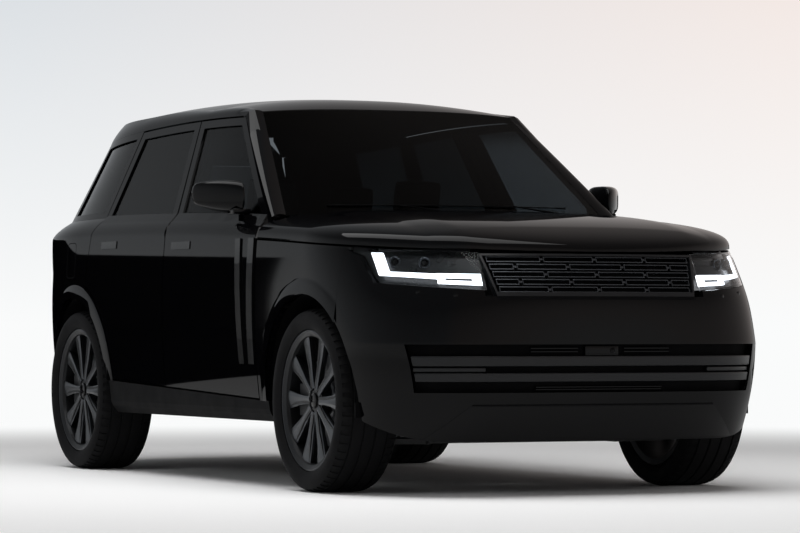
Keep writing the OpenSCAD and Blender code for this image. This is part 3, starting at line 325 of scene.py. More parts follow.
finishes = {
    # two-layer black lacquer: a near-black base under a clear coat with sharp, weak reflections
    "paint": newMaterial("blackLacquer", "#040405", 0.3, grain(4.0, 0.02, 0.02, 400, 0.06), specular=0.0, coat=0.42,
                         coatRoughness=0.03, coatIor=1.35),
    # moulded and polished black acrylic
    "gloss_trim": newMaterial("blackAcrylic", "#050506", 0.12, grain(6.0, 0.02, 0.02, 200, 0.03), specular=0.12),
    # grained polypropylene, dull and dark
    "trim": newMaterial("grainedPolypropylene", "#060607", 0.6, grain(1.6, 0.25, 0.2), specular=0.04),
    # satin-painted ABS, a soft grey sheen
    "satin_trim": newMaterial("satinAbs", "#131416", 0.34, grain(0.9, 0.1, 0.05), specular=0.22),
    # dark satin plating on the grille links
    "rimmed": newMaterial("darkSatinPlating", "#44474b", 0.3, grain(1.2, 0.08, 0.05), metal=0.9),
    # stone-guard wax on the underside, rough and without shine
    "underbody": newMaterial("stoneGuard", "#060607", 0.85, grain(5.0, 0.5, 0.6), specular=0.06),
    # tinted laminated glass, see-through with a grey cast that deepens towards the roof
    "glass": newMaterial("tintedGlass", "#62686c", 0.0, shadeBand(1560, 1740, "#15191b"), ior=1.08, clear=1.0),
    # privacy glass of the rear doors and load space, nearly black from outside
    "privacy": newMaterial("privacyGlass", "#2a2e30", 0.0, shadeBand(1300, 1700, "#1b1e20"), ior=1.1, clear=1.0),
    # clear moulded polycarbonate of the lamp lenses, see-through with a faint gloss
    "lens": newMaterial("clearPolycarbonate", "#dfe3e6", 0.0, ior=1.12, clear=1.0),
    # black moulded polycarbonate of the lamp housings, dark with a soft gloss
    "lamp": newMaterial("mouldedPolycarbonate", "#0c0d0e", 0.3, grain(1.5, 0.15, 0.1)),
    # acrylic light guide that is lit white
    "light": newMaterial("litAcrylic", "#f4f6f8", 0.3, grain(2.0, 0.1, 0.1), glowColour=linear("#f6f9ff"), glow=3.0),
    # deep red moulded acrylic behind a smoked cover, glossy
    "tail_lamp": newMaterial("redAcrylic", "#3a0507", 0.2, grain(3.0, 0.2, 0.2)),
    # smoked polycarbonate cover of the tail lamps, a see-through red brown
    "smoked": newMaterial("smokedPolycarbonate", "#57302f", 0.0, shadeBand(800, 1250, "#3d2524"), ior=1.2, clear=1.0),
    # cast alloy under dark satin lacquer, darkened further as painted shade for the deep barrel of the wheel
    "wheel": newMaterial("darkAlloyAndBarrelShade", "#1a1b1d", 0.42, grain(1.4, 0.15, 0.1), metal=0.6),
    # the same casting on the spoke faces, rubbed down before its lacquer; lighter also because the rest of the wheel
    # carries the painted barrel shade
    "spoke": newMaterial("rubbedAlloy", "#434548", 0.34, grain(0.8, 0.12, 0.05), metal=0.9),
    # turned and lacquered edge of the rim, brighter than the casting
    "rimEdge": newMaterial("turnedAlloy", "#3a3c3f", 0.3, machined(0.7, 0.05), metal=1.0),
    # vulcanised rubber, dull with a grey bloom
    "tyre": newMaterial("vulcanisedRubber", "#101011", 0.72, grain(2.2, 0.15, 0.15), specular=0.08),
    # machined grey iron, the sheen of bare metal
    "iron": newMaterial("machinedIron", "#5d5e60", 0.42, machined(0.6, 0.08), metal=1.0),
    # cast iron painted black, dull and uneven
    "chassis": newMaterial("paintedCasting", "#17181a", 0.6, grain(2.5, 0.35, 0.3)),
    # sand-cast aluminium, pale and grainy
    "alloy": newMaterial("sandCastAluminium", "#7b7d80", 0.55, grain(1.2, 0.3, 0.2), metal=1.0),
    # rolled stainless tube, bright and fairly even
    "steel": newMaterial("rolledStainless", "#86878a", 0.35, grain(0.8, 0.1, 0.04, 60, 0.08), metal=1.0),
    # soft-touch cabin plastic, dark and dull
    "cabin": newMaterial("softTouchPlastic", "#161617", 0.7, grain(1.8, 0.2, 0.15)),
    # dyed hide, a fine pebble grain with a low sheen
    "leather": newMaterial("dyedHide", "#221f1d", 0.5, grain(3.0, 0.35, 0.3), specular=0.35),
    # silvered mirror glass, a sharp reflection
    "mirror": newMaterial("silveredGlass", "#c8ccd0", 0.02, metal=1.0),
}
print("materials ready")

# every CAD node takes the finish of its record slot
slotOf = {part["node"]: part["material_slot"] for part in frame["record"]["subparts"]}
for nodeName, node in frame["nodes"].items():
    node.data.materials.clear()
    node.data.materials.append(finishes[slotOf[nodeName]])


# puts a bmesh into the scene as an object
def addObject(name, bm, material):
    data = bpy.data.meshes.new(name)
    bm.to_mesh(data)
    bm.free()
    data.materials.append(material)
    thing = bpy.data.objects.new(name, data)
    bpy.context.scene.collection.objects.link(thing)
    return thing


# a finished bmesh as one piece of the car
def addPiece(name, bm, body, slot, finish=None, sharp=32):
    piece = addObject(name, bm, finishes[finish or slot])
    for face in piece.data.polygons:
        face.use_smooth = True
    piece.data.set_sharp_from_angle(angle=math.radians(sharp))
    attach(piece, body)
    return piece


# gives an open sheet its wall, inward along the point normals
def thicken(bm, wall):
    bm.normal_update()
    moves = [(vert, vert.normal * wall * mm) for vert in bm.verts]
    bmesh.ops.extrude_face_region(bm, geom=bm.faces[:], use_keep_orig=True)
    for vert, move in moves:
        vert.co -= move
    bmesh.ops.recalc_face_normals(bm, faces=bm.faces[:])


# a smooth sheet of given wall over the surface function, in mm, with an optional hole in (u, v)
def sheet(surface, counts, inside, hole=None, wall=1.2, lift=0.4):
    bm = bmesh.new()
    bmesh.ops.create_grid(bm, x_segments=counts[0], y_segments=counts[1], size=0.5)
    if hole:
        centres = [(face, face.calc_center_median()) for face in bm.faces]
        cut = [face for face, c in centres if hole(c.x + 0.5, c.y + 0.5)]
        bmesh.ops.delete(bm, geom=cut, context="FACES")
    for vert in bm.verts:
        vert.co = Vector(surface(vert.co.x + 0.5, vert.co.y + 0.5)) * mm
    bm.normal_update()
    middle = Vector(inside) * mm
    if sum(f.normal.dot(f.calc_center_median() - middle) * f.calc_area() for f in bm.faces) < 0:
        bmesh.ops.reverse_faces(bm, faces=bm.faces[:])
        bm.normal_update()
    if lift:
        moves = [(vert, vert.normal * lift * mm) for vert in bm.verts]
        for vert, move in moves:
            vert.co += move
    for vert in bm.verts:  # nothing stands out of the car's own box
        vert.co = Vector([min(max(c, low), high) for c, low, high in zip(vert.co, *startBounds)])
    thicken(bm, wall)
    return bm


def mirrored(p, side):
    return (p[0], p[1] * side, p[2])


# a pane of the car's glass; the wall in mm
def glassSheet(surface, counts, inside):
    return sheet(surface, counts, inside, wall=5, lift=0)


# doors: a skin over the door and its window frame, and the glass; rows and glass edges are shares of the grid
doorSkin = {"frame": 58, "frontFrame": 62, "topFrame": 46, "sillRow": 0.55, "shoulderRow": 0.68, "glassTop": 0.95,
            "glassRear": 0.06, "glassFront": 0.94, "grid": (50, 80), "glassGrid": (24, 16), "glassInset": 9,
            "glassEdge": 0.0008, "frontMiddle": 450, "rearMiddle": -620}
quarterSet = 62  # how far the rear door's lower edge is set back, in mm


# shut lines, as in the part's source
def frontEdge(z):
    shut = car["shut"]
    if z < crease(1000):
        return frontDoorX
    if z < belt(pillarFoot):
        return mix(frontDoorX, pillarFoot - shut, ramp(z, crease(1000), belt(pillarFoot)))
    return mix(pillarFoot, pillarTop, ramp(z, belt(pillarFoot), rail(pillarTop))) - 1.6 * shut


def midEdge(z):
    return midDoorX - 50 * ramp(z, 1150, 1245) - 150 * ramp(z, 1245, 1712)


def pillarFront(g):
    return mix(quarterX - 20, quarterX + 60, g)


def rearEdge(z):
    shut = car["shut"]
    if z < 925:
        return axleRear + math.sqrt((doorCut + shut / 2) ** 2 - max(0, z - axleHeight) ** 2)
    if z < belt(quarterX):
        return mix(quarterX - quarterSet, quarterX - 14, ramp(z, 925, 1160)) - 6 * ramp(z, 1160, 1262) + shut
    return pillarFront(ramp(z, belt(quarterX), rail(quarterX))) + shut


def doorMiddle(front):
    return doorSkin["frontMiddle"] if front else doorSkin["rearMiddle"]


def doorSurface(front, side, inset=0):
    d = doorSkin

    def height(x, v):
        return piecewise(v, [(0, sillTop(x) + car["shut"]), (d["sillRow"], crease(x)),
                             (d["shoulderRow"], belt(x) + 12), (d["glassTop"], rail(x) - d["topFrame"]),
                             (1, rail(x) - car["shut"])])

    def surface(u, v):
        z = height(doorMiddle(front), v)
        a = midEdge(z) + car["shut"] / 2 if front else rearEdge(z)
        b = frontEdge(z) if front else midEdge(z) - car["shut"] / 2
        x = piecewise(u, [(0, a), (d["glassRear"], a + d["frame"]), (d["glassFront"], b - d["frontFrame"]), (1, b)])
        z = height(x, v)
        return mirrored((x, sideY(x, z) - inset, z), side)
    return surface


def doorHole(u, v):
    d = doorSkin
    return d["shoulderRow"] < v < d["glassTop"] and d["glassRear"] < u < d["glassFront"]


# the door's surface in the window opening alone, kept off its edges
def doorPane(front, side):
    d, surface = doorSkin, doorSurface(front, side, doorSkin["glassInset"])
    edge = d["glassEdge"]
    return lambda u, v: surface(mix(d["glassRear"] + edge, d["glassFront"] - edge, u),
                                mix(d["shoulderRow"] + edge, d["glassTop"] - edge, v))


for end, side, front in (("fl", 1, True), ("fr", -1, True), ("rl", 1, False), ("rr", -1, False)):
    inside = (doorMiddle(front), 300 * side, 900)
    addPiece("doorSkin_" + end, sheet(doorSurface(front, side), doorSkin["grid"], inside, doorHole),
             "door_" + end, "paint")
    glass = addPiece("pane_" + end, glassSheet(doorPane(front, side), doorSkin["glassGrid"], inside), "door_" + end,
                     "glass", "glass" if front else "privacy")
    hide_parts("glass_" + end)
print("doors skinned")

# wings and rear quarters: a strip beside the arch and then round it by angle, so that the opening is a true circle
archPanel = {"lip": 7, "lipWidth": 62, "wingGrid": (70, 30), "wingStrip": 0.22, "quarterGrid": (50, 24),
             "quarterStrip": 0.2, "stripWidth": 62}


def archLip(x, z, axle):
    away = math.hypot(x - axle, z - axleHeight) - car["arch"]
    return archPanel["lip"] * max(0, 1 - max(0, away) / archPanel["lipWidth"]) ** 0.6


# from x first to x last; strip is the strip's share of the grid, top the height of the panel's upper edge
def archSurface(side, axle, first, last, strip, top):
    facing, angle0 = (1, 0) if first > axle else (-1, math.pi)
    start, angle1 = axle + facing * car["arch"], math.acos((last - axle) / car["arch"])

    def surface(u, v):
        if u < strip:
            x = mix(first, start, u / strip)
            low = sillTop(x)
        else:
            angle = mix(angle0, angle1, (u - strip) / (1 - strip))
            x = axle + car["arch"] * math.cos(angle)
            low = axleHeight + car["arch"] * math.sin(angle)
        z = mix(low, top(x), v)
        return mirrored((x, sideY(x, z) + archLip(x, z, axle), z), side)
    return surface


for word, side in hands:
    wing = archSurface(side, axleFront, wingBack, wingFront, archPanel["wingStrip"], lambda x: crease(x) - car["shut"])
    addPiece("wingSkin" + word, sheet(wing, archPanel["wingGrid"], (axleFront - 100, 300 * side, 700)), "body", "paint")

# rear quarter: arch panel, flank and roof pillar with its side window; glass is its first and last u and v
quarterSkin = {"flankGrid": (70, 60), "pillarGrid": (100, 100), "glass": (0.05, 0.56, 0.07, 0.92),
               "glassGrid": (20, 14), "glassInset": 10, "glassEdge": 0.001}


def quarterArch(side):
    return archSurface(side, axleRear, axleRear + car["arch"] + archPanel["stripWidth"], quarterX - quarterSet,
                       archPanel["quarterStrip"], lambda x: archZ(x, axleRear, doorCut - car["shut"] / 2))


def quarterFlank(side):
    firstX, lastX = quarterX - quarterSet - 0.4, backX(tailY, 1000)

    def surface(u, v):
        x0 = mix(firstX, lastX, u)
        low = archZ(x0, axleRear, car["arch"])
        if x0 < axleRear:
            low = max(low, bumperTop + 0.4)
        z = mix(low, belt(x0) - 0.4, v)
        shift = 50 * ramp(z, 925, 1160) - 8 * ramp(z, 1160, 1260)
        x = x0 + shift * (1 - u) ** 6
        if u > 0.6:
            x += (backX(tailY, z) - lastX) * ramp(u, 0.6, 1)
        return mirrored((x, sideY(x, z) + archLip(x, z, axleRear), z), side)
    return surface


def pillarSurface(side, inset=0):
    def surface(u, v):
        zBack = mix(belt(-2300), rail(roofEnd), v)
        x = mix(pillarFront(v), backX(gateY(zBack) + car["shut"], zBack), u)
        z = mix(belt(x), rail(max(x, roofEnd)) - 0.6, v)
        return mirrored((x, sideY(x, z) - inset, z), side)
    return surface


def pillarHole(u, v):
    u0, u1, v0, v1 = quarterSkin["glass"]
    return u0 < u < u1 and v0 < v < v1


def quarterPane(side):
    place, edge = pillarSurface(side, quarterSkin["glassInset"]), quarterSkin["glassEdge"]
    u0, u1, v0, v1 = quarterSkin["glass"]
    return lambda u, v: place(mix(u0 + edge, u1 - edge, u), mix(v0 + edge, v1 - edge, v))


def quarterInside(side):
    return (-1600, 200 * side, 1000)


for word, side in hands:
    inside = quarterInside(side)
    addPiece("quarterArchSkin" + word, sheet(quarterArch(side), archPanel["quarterGrid"], inside), "body", "paint")
    addPiece("quarterFlankSkin" + word, sheet(quarterFlank(side), quarterSkin["flankGrid"], inside), "body", "paint")
    addPiece("quarterPillarSkin" + word, sheet(pillarSurface(side), quarterSkin["pillarGrid"], inside, pillarHole),
             "body", "paint")

# the fuel flap's shut line on the right flank
flap = {"back": -1500, "front": -1366, "low": 966, "high": 1146, "line": 3.5, "round": 0.3, "grid": (120, 1)}


# u runs round a rounded square; the outer edge of the line is at v = 0 and the inner one at v = 1
def flapSurface(u, v):
    a = 2 * math.pi * u
    wide = (flap["front"] - flap["back"]) / 2 - flap["line"] * v
    tall = (flap["high"] - flap["low"]) / 2 - flap["line"] * v
    x = (flap["front"] + flap["back"]) / 2 + wide * signedPower(math.cos(a), flap["round"])
    z = (flap["high"] + flap["low"]) / 2 + tall * signedPower(math.sin(a), flap["round"])
    return (x, -sideY(x, z), z)


addPiece("fuelFlapLine", sheet(flapSurface, flap["grid"], (-1430, 0, 1000), wall=0.6, lift=0.7), "body", "paint",
         "underbody")

panes = [addPiece("quarterPane" + word, glassSheet(quarterPane(side), quarterSkin["glassGrid"], quarterInside(side)),
                  "body", "glass", "privacy") for word, side in hands]
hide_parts("quarter_glass")
print("rear quarters skinned")

# roof, its rails and the windscreen; the notch is the length and half width of the gap for a hinge arm
roofSkin = {"grid": (90, 90), "railGrid": (110, 14), "frontBlend": 0.12, "notch": (66, 47), "hingeY": 200,
            "pillarShare": 0.3, "pillarReach": 0.93, "pillarFlat": 0.6, "screenGrid": (40, 30)}


def roofSurface(u, v):
    blend = roofSkin["frontBlend"]
    x0 = mix(roofStart, roofEnd, u)
    y = (2 * v - 1) * (roofY(x0) - 0.4)
    x = mix(header(y) - 0.4, x0, ramp(u, 0, blend)) if u < blend else x0
    return (x, y, roofZ(x, y))


# the outer and inner edge of the windscreen pillar, then of the roof rail, and how flat the band between them is
def railSection(u):
    share, flat = roofSkin["pillarShare"], roofSkin["pillarFlat"]
    if u < share:
        g = u / share * roofSkin["pillarReach"]
        x = mix(pillarFoot, pillarTop, g)
        z = mix(belt(pillarFoot), rail(pillarTop), g)
        return Vector((x, sideY(x, z), z)), screenP(1, g), flat
    x = mix(roofStart, roofEnd + 10, (u - share) / (1 - share))
    xs = min(x, pillarTop + (x - roofStart) * 0.98)
    return (Vector((xs, sideY(xs, rail(x)), rail(x))), Vector((x, roofY(x), roofZ(x, roofY(x)))),
            flat * (1 - ramp(u, share, share + 0.04)))


def railSurface(side):
    def surface(u, f):
        a, b, flat = railSection(u)
        knee = Vector((mix(a.x, b.x, 0.35), a.y - 16, a.z + 44)).lerp((a + b) / 2, flat)
        p = a * (1 - f) ** 2 + knee * 2 * f * (1 - f) + b * f * f
        return mirrored(p, side)
    return surface


# the two notches at the back edge where the upper tailgate's hinge arms swing
def hingeNotch(u, v):
    x, y, _ = roofSurface(u, v)
    long, half = roofSkin["notch"]
    return x < roofEnd + long and abs(abs(y) - roofSkin["hingeY"]) < half


addPiece("roofSkin", sheet(roofSurface, roofSkin["grid"], (-800, 0, 900), hingeNotch, lift=0.05), "body", "paint")
for word, side in hands:
    addPiece("railSkin" + word, sheet(railSurface(side), roofSkin["railGrid"], (-500, 0, 1000)), "body", "paint")


def screenSurface(u, v):
    return screenP((2 * u - 1) * 0.998, v * 0.9905) - Vector((1, 0, 0))


screen = addPiece("windscreenPane", glassSheet(screenSurface, roofSkin["screenGrid"], (0, 0, 1000)), "body", "glass")
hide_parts("windscreen")
print("roof and windscreen ready")

# bonnet
bonnetSkin = {"knee": 2060, "backGap": 1170, "grid": (80, 110)}


def bonnetSurface(u, v):
    u, v = math.sin(math.pi / 2 * u), math.sin(math.pi / 2 * (2 * v - 1))
    knee = bonnetSkin["knee"]
    kneeY, backY = edgeY(knee), edgeY(wingBack)

    def frontLine(s):
        return Vector((knee if abs(s) > 0.999 else edgeX(s * kneeY), s * kneeY))

    def backLine(s):
        return Vector((max(wingBack, bonnetSkin["backGap"] - 2e-4 * (s * backY) ** 2), s * backY))

    def flank(s):
        x = mix(wingBack, knee, u)
        return Vector((x, s * edgeY(x)))
    w = (v + 1) / 2
    p = ((1 - u) * backLine(v) + u * frontLine(v) + (1 - w) * flank(-1) + w * flank(1)
         - (1 - u) * ((1 - w) * backLine(-1) + w * backLine(1)) - u * ((1 - w) * frontLine(-1) + w * frontLine(1)))
    return (p.x, p.y, bonnetZ(p.x, p.y))


addPiece("bonnetSkin", sheet(bonnetSurface, bonnetSkin["grid"], (1500, 0, 700)), "bonnet", "paint")

# front bumper with its lower opening, which ends at a share of the half width and lies between two rows
bumperSkin = {"grid": (160, 90), "opening": 0.643, "lowRow": 0.33, "highRow": 0.56}


def bumperSide(z):
    return noseW(max(wingFront + 0.4, axleFront + archDx(z, car["arch"])), z)


def bumperP(w, z, t=0):
    if abs(w) < 0.999:
        return noseP(w * bumperSide(z), z, t)
    p = noseP(w * bumperSide(z), z)
    return (p[0], p[1] - math.copysign(t, w), z)


def bumperEdge(w):
    a = abs(w)
    if a < 0.31:
        return grilleLow
    return piecewise(a, [(0.325, 876), (0.8, 908), (0.906, 1026), (1, crease(wingFront) - 26)])


def bumperLow(w):
    return 236 + 84 * ramp(abs(w), 0.45, 1) ** 2


def bumperSurface(u, v):
    w = 2 * u - 1
    z = piecewise(v, [(0, bumperLow(w)), (bumperSkin["lowRow"], intakeLow), (bumperSkin["highRow"], intakeHigh),
                      (1, bumperEdge(w))])
    return bumperP(w, z)


def bumperHole(u, v):
    return bumperSkin["lowRow"] < v < bumperSkin["highRow"] and abs(2 * u - 1) < bumperSkin["opening"]


addPiece("frontBumperSkin", sheet(bumperSurface, bumperSkin["grid"], (1700, 0, 600), bumperHole, lift=0.1),
         "body", "paint")

# rear end: bumper, upper tailgate with its pane, and lower tailgate
rearSkin = {"bumperGrid": (110, 40), "gateGrid": (100, 127), "dropGrid": (60, 20), "glassGrid": (30, 16),
            "gateTop": 1640, "glassLow": 1300, "glassHigh": 1590, "glassShare": 0.86, "glassInset": 9}


# the rear face at a half width y and height z, t mm under the surface
def rearAt(y, z, t=0):
    return (backX(y, z) + t, y, z)


def rearBumperSurface(u, v):
    w = 2 * u - 1
    z = mix(330 - 10 * abs(w), bumperTop, v)
    n, reach = tailN(z), tailX(z) + tailStart
    a = math.acos(((archDx(z, car["arch"]) - axleRear + tailStart) / reach) ** (n / 2)) * w
    return (tailStart - reach * abs(math.cos(a)) ** (2 / n), barrel(z) * signedPower(math.sin(a), 2 / n), z)


def gateHeight(v):
    return mix(gateSplit + car["shut"] / 2, rearSkin["gateTop"], v)


def upperGateSurface(u, v):
    z = gateHeight(v)
    return rearAt((2 * u - 1) * gateY(z), z)


def gateHole(u, v):
    r = rearSkin
    return r["glassLow"] < gateHeight(v) < r["glassHigh"] and abs(2 * u - 1) < r["glassShare"]


def rearPane(u, v):
    r = rearSkin
    z = mix(r["glassLow"] + 1, r["glassHigh"] - 1, v)
    return rearAt((2 * u - 1) * (r["glassShare"] - 0.002) * gateY(z), z, r["glassInset"])


def lowerGateSurface(u, v):
    z = mix(bumperTop + car["shut"] + 4, gateSplit - car["shut"] / 2, v)
    return rearAt((2 * u - 1) * gateHalf, z)


gateInside = (-1500, 0, 1200)
addPiece("rearBumperSkin", sheet(rearBumperSurface, rearSkin["bumperGrid"], (-1700, 0, 600), lift=0.1),
         "body", "paint")
addPiece("upperGateSkin", sheet(upperGateSurface, rearSkin["gateGrid"], gateInside, gateHole),
         "upper_tailgate", "paint")
pane = addPiece("rearPane", glassSheet(rearPane, rearSkin["glassGrid"], gateInside), "upper_tailgate", "glass",
                "privacy")
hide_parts("rear_glass")
rearMiddle = (-1500, 0, 900)
addPiece("lowerGateSkin", sheet(lowerGateSurface, rearSkin["dropGrid"], rearMiddle, lift=0.1),
         "lower_tailgate", "paint")
print("bonnet, bumpers and tailgates skinned")


# nose face: the point at a half width y and height z, t mm under the surface
def noseAt(y, z, t=0):
    n, half = noseN(z), barrel(z) - t
    bulge = max(0, 1 - min(1, abs(y) / half) ** n) ** (1 / n)
    return (noseStart + (noseX(z) - noseStart - t) * bulge, y, z)


noseMiddle = (1700, 0, 800)


# a sheet between four corners (y, z), from the lower left round, laid t mm under the nose face
def noseSheet(corners, t, counts, wall, hole=None, lift=0, side=1):
    (y0, z0), (y1, z1), (y2, z2), (y3, z3) = corners

    def surface(u, v):
        y = mix(mix(y0, y1, u), mix(y3, y2, u), v)
        return noseAt(side * y, mix(mix(z0, z1, u), mix(z3, z2, u), v), t)
    return sheet(surface, counts, noseMiddle, hole, wall, lift)


# the corners of an upright box, from the lower left round
def upright(y0, y1, z0, z1):
    return [(y0, z0), (y1, z0), (y1, z1), (y0, z1)]


# several bmeshes as one
def gather(parts):
    whole = bmesh.new()
    for part in parts:
        data = bpy.data.meshes.new("gathered")
        part.to_mesh(data)
        part.free()
        whole.from_mesh(data)
        bpy.data.meshes.remove(data)
    return whole


# turns a form that lies along x to another axis and moves it to a place in mm
def moved(bm, place, axis):
    turn = Vector((1, 0, 0)).rotation_difference(Vector(axis)).to_matrix().to_4x4()
    bmesh.ops.transform(bm, matrix=Matrix.Translation(Vector(place) * mm) @ turn, verts=bm.verts[:])
    return bm


# a turned piece: profile of (along, radius) in mm, spun about the axis through a place in mm
def turned(profile, steps, place, axis):
    bm = bmesh.new()
    points = [bm.verts.new((along * mm, radius * mm, 0)) for along, radius in profile]
    lines = [bm.edges.new(pair) for pair in zip(points, points[1:])]
    bmesh.ops.spin(bm, geom=points + lines, cent=(0, 0, 0), axis=(1, 0, 0), angle=2 * math.pi, steps=steps,
                   use_merge=True)
    bmesh.ops.remove_doubles(bm, verts=bm.verts[:], dist=1e-6)
    bmesh.ops.recalc_face_normals(bm, faces=bm.faces[:])
    return moved(bm, place, axis)


# rounds the sharp edges of a closed form; size in mm
def softened(bm, size, steps=2, angle=50):
    edges = [e for e in bm.edges if len(e.link_faces) == 2 and e.calc_face_angle() > math.radians(angle)]
    bmesh.ops.bevel(bm, geom=edges, offset=size * mm, affect="EDGES", segments=steps, profile=0.5, material=-1)
    return bm


# a box between two corners in mm, with rounded edges
def block(low, high, size=6):
    bm = bmesh.new()
    bmesh.ops.create_cube(bm, size=1)
    low, high = Vector(low), Vector(high)
    scale = Matrix.Diagonal(tuple((high - low) * mm) + (1,))
    bmesh.ops.transform(bm, matrix=Matrix.Translation((low + high) / 2 * mm) @ scale, verts=bm.verts[:])
    return softened(bm, size, 3)


# a sheet over a box on the rear face: first and last half width, low and high, t mm under the surface
def rearSheet(box, t, counts, wall=3, lift=0, side=1):
    y0, y1, z0, z1 = box
    return sheet(lambda u, v: rearAt(side * mix(y0, y1, u), mix(z0, z1, v), t), counts, rearMiddle, wall=wall,
                 lift=lift)


# tail lamps: a red guide in a dark housing behind a smoked cover; the gate's gloss band and the bumper's trim
lampInner, lampOuter = gateHalf + car["shut"] + 0.4, tailY - 0.8
rearLamp = {"case": (lampInner, lampOuter, bumperTop + 0.8, 1214.5), "cornerCap": (lampInner, lampOuter, 1215.5, 1257),
            "guide": (622, 664, 826, 1190), "reflector": (520, 760, 505, 523), "highLamp": (-170, 170, 1602, 1616),
            "band": (-588, 588, 1040, 1118), "skirt": (-640, 640, 336, 430)}
for word, side in hands:
    case = addPiece("tailHousing" + word, rearSheet(rearLamp["case"], 26, (10, 40), side=side),
                    "body", "tail_lamp", "lamp")
    if side > 0:
        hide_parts("tail_lamps")
    addPiece("tailCover" + word, rearSheet(rearLamp["case"], 0.6, (12, 50), wall=2.5, side=side),
             "body", "tail_lamp", "smoked")
    addPiece("tailGuide" + word, softened(rearSheet(rearLamp["guide"], 12, (6, 40), wall=8, side=side), 2),
             "body", "tail_lamp")
    addPiece("cornerCap" + word, rearSheet(rearLamp["cornerCap"], 0, (12, 6), side=side), "body", "paint")
    addPiece("rearReflector" + word, rearSheet(rearLamp["reflector"], 0, (24, 3), lift=1, side=side),
             "body", "tail_lamp")
addPiece("gateBand", rearSheet(rearLamp["band"], 0, (60, 8), lift=1), "upper_tailgate", "gloss_trim")
addPiece("highBrakeLamp", rearSheet(rearLamp["highLamp"], 0, (24, 2), lift=0.8), "upper_tailgate", "tail_lamp")
addPiece("rearSkirt", rearSheet(rearLamp["skirt"], 0, (60, 10), lift=1), "body", "trim")
print("tail lamps and rear trim ready")

# headlamps: clear lens, dark housing, lit L-shaped guide and two projector units; (y, z) on the nose, the other
# numbers how far each lies under its face
headlamp = {"outerBar": [(872, 941), (839, 953), (840, 1036), (873, 1037)],
            "lowerBar": [(870, 941), (690, 926), (688, 945), (840, 955)],
            "block": [(691, 906), (520, 898), (519, 944), (688, 947)], "slot": (0.17, 0.78, 0.34, 0.62),
            "brow": [(846, 1043), (540, 1043), (536, 1049), (850, 1049)], "browUnder": 12,
            "projectors": [(798, 996), (703, 992)], "lensRadius": 17, "aim": (0.94, 0.34, 0), "lens": 3, "guide": 10,
            "guideWall": 9, "housing": 42, "inner": 514, "innerShare": 0.325}


def lampSurface(side, t):
    def surface(u, v):
        w = mix(headlamp["innerShare"], 1, u)
        foot = bumperEdge(w) + 0.4
        z = mix(foot, max(foot + 12, crease(bumperP(w, 1050)[0]) - car["shut"]), v)
        first = math.asin((headlamp["inner"] / barrel(z)) ** (noseN(z) / 2)) / bumperSide(z)
        return mirrored(bumperP(mix(first, 1, u), z, t), side)
    return surface


def slotHole(u, v):
    u0, u1, v0, v1 = headlamp["slot"]
    return u0 < u < u1 and v0 < v < v1


for word, side in hands:
    h = headlamp
    housing = addPiece("lampHousing" + word, sheet(lampSurface(side, h["housing"]), (50, 14), noseMiddle, wall=3,
                                                   lift=0), "body", "lamp")
    if side > 0:
        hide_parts("headlamps")
    addPiece("lampLens" + word, sheet(lampSurface(side, h["lens"]), (70, 16), noseMiddle, wall=2.5, lift=0),
             "body", "lamp", "lens")
    guides = [noseSheet(h[key], h["guide"], (20, 6), h["guideWall"], side=side) for key in ("outerBar", "lowerBar")]
    guides.append(noseSheet(h["block"], h["guide"], (46, 13), h["guideWall"], slotHole, side=side))
    addPiece("lampGuide" + word, gather(guides), "body", "lamp", "light")
    addPiece("lampBrow" + word, noseSheet(h["brow"], h["browUnder"], (30, 2), 6, side=side),
             "body", "lamp", "satin_trim")
    bezels, bulbs = [], []
    r, aim = h["lensRadius"], mirrored(h["aim"], side)
    for y, z in h["projectors"]:
        place = noseAt(side * y, z, h["housing"])
        bezels.append(turned([(-6, r + 9), (14, r + 9), (17, r + 6), (14, r + 1), (4, r - 4), (0, 0)], 40, place,
                             aim))
        bulbs.append(turned([(4, r - 3), (9, r - 2), (15, r - 8), (18, r - 15), (19, 0)], 40, place, aim))
    addPiece("lampBezels" + word, gather(bezels), "body", "lamp", "rimmed")
    addPiece("lampProjectors" + word, gather(bulbs), "body", "lamp", "gloss_trim")
print("headlamps ready")

# grille: a dark back, a satin frame and five rows of long link-shaped cells, staggered; the last two sizes place a dark
# strip below it, painted shadow of the gap to the bumper
grilleFace = {"low": 851, "high": crease(noseX(1040)) - car["shut"] - 1, "lowHalf": 466, "highHalf": 505, "rows": 5,
              "cellHeight": 24, "cellWall": 16, "gap": 15, "rim": 3.4, "front": 8, "back": 46, "linkHeight": 8,
              "evenRow": (-1, -0.5, 0, 0.5, 1), "oddRow": (-1, -0.76, -0.27, 0.27, 0.76, 1), "frameGrid": (110, 20),
              "frameWall": 44, "shadowStripHalf": (470, 480), "shadowStripDrop": (14, 2)}


def grilleHalf(z):
    g = grilleFace
    return mix(g["lowHalf"], g["highHalf"], ramp(z, g["low"], g["high"]))


def grilleCorners(grow=0):
    g = grilleFace
    return [(-g["lowHalf"] - grow, g["low"]), (g["lowHalf"] + grow, g["low"]),
            (g["highHalf"] + grow, g["high"]), (-g["highHalf"] - grow, g["high"])]


def cellRing(y0, y1, z0, z1, t):
    long, tall = max(5, round((y1 - y0) / grilleFace["rim"])), round((z1 - z0) / grilleFace["rim"])
    return noseSheet(upright(y0, y1, z0, z1), t, (long, tall), grilleFace["cellWall"],
                     lambda u, v: 1 / long < u < 1 - 1 / long and 1 / tall < v < 1 - 1 / tall)


def frameHole(u, v):
    long, tall = grilleFace["frameGrid"]
    return 1 / long < u < 1 - 1 / long and 2 / tall < v < 1 - 1 / tall


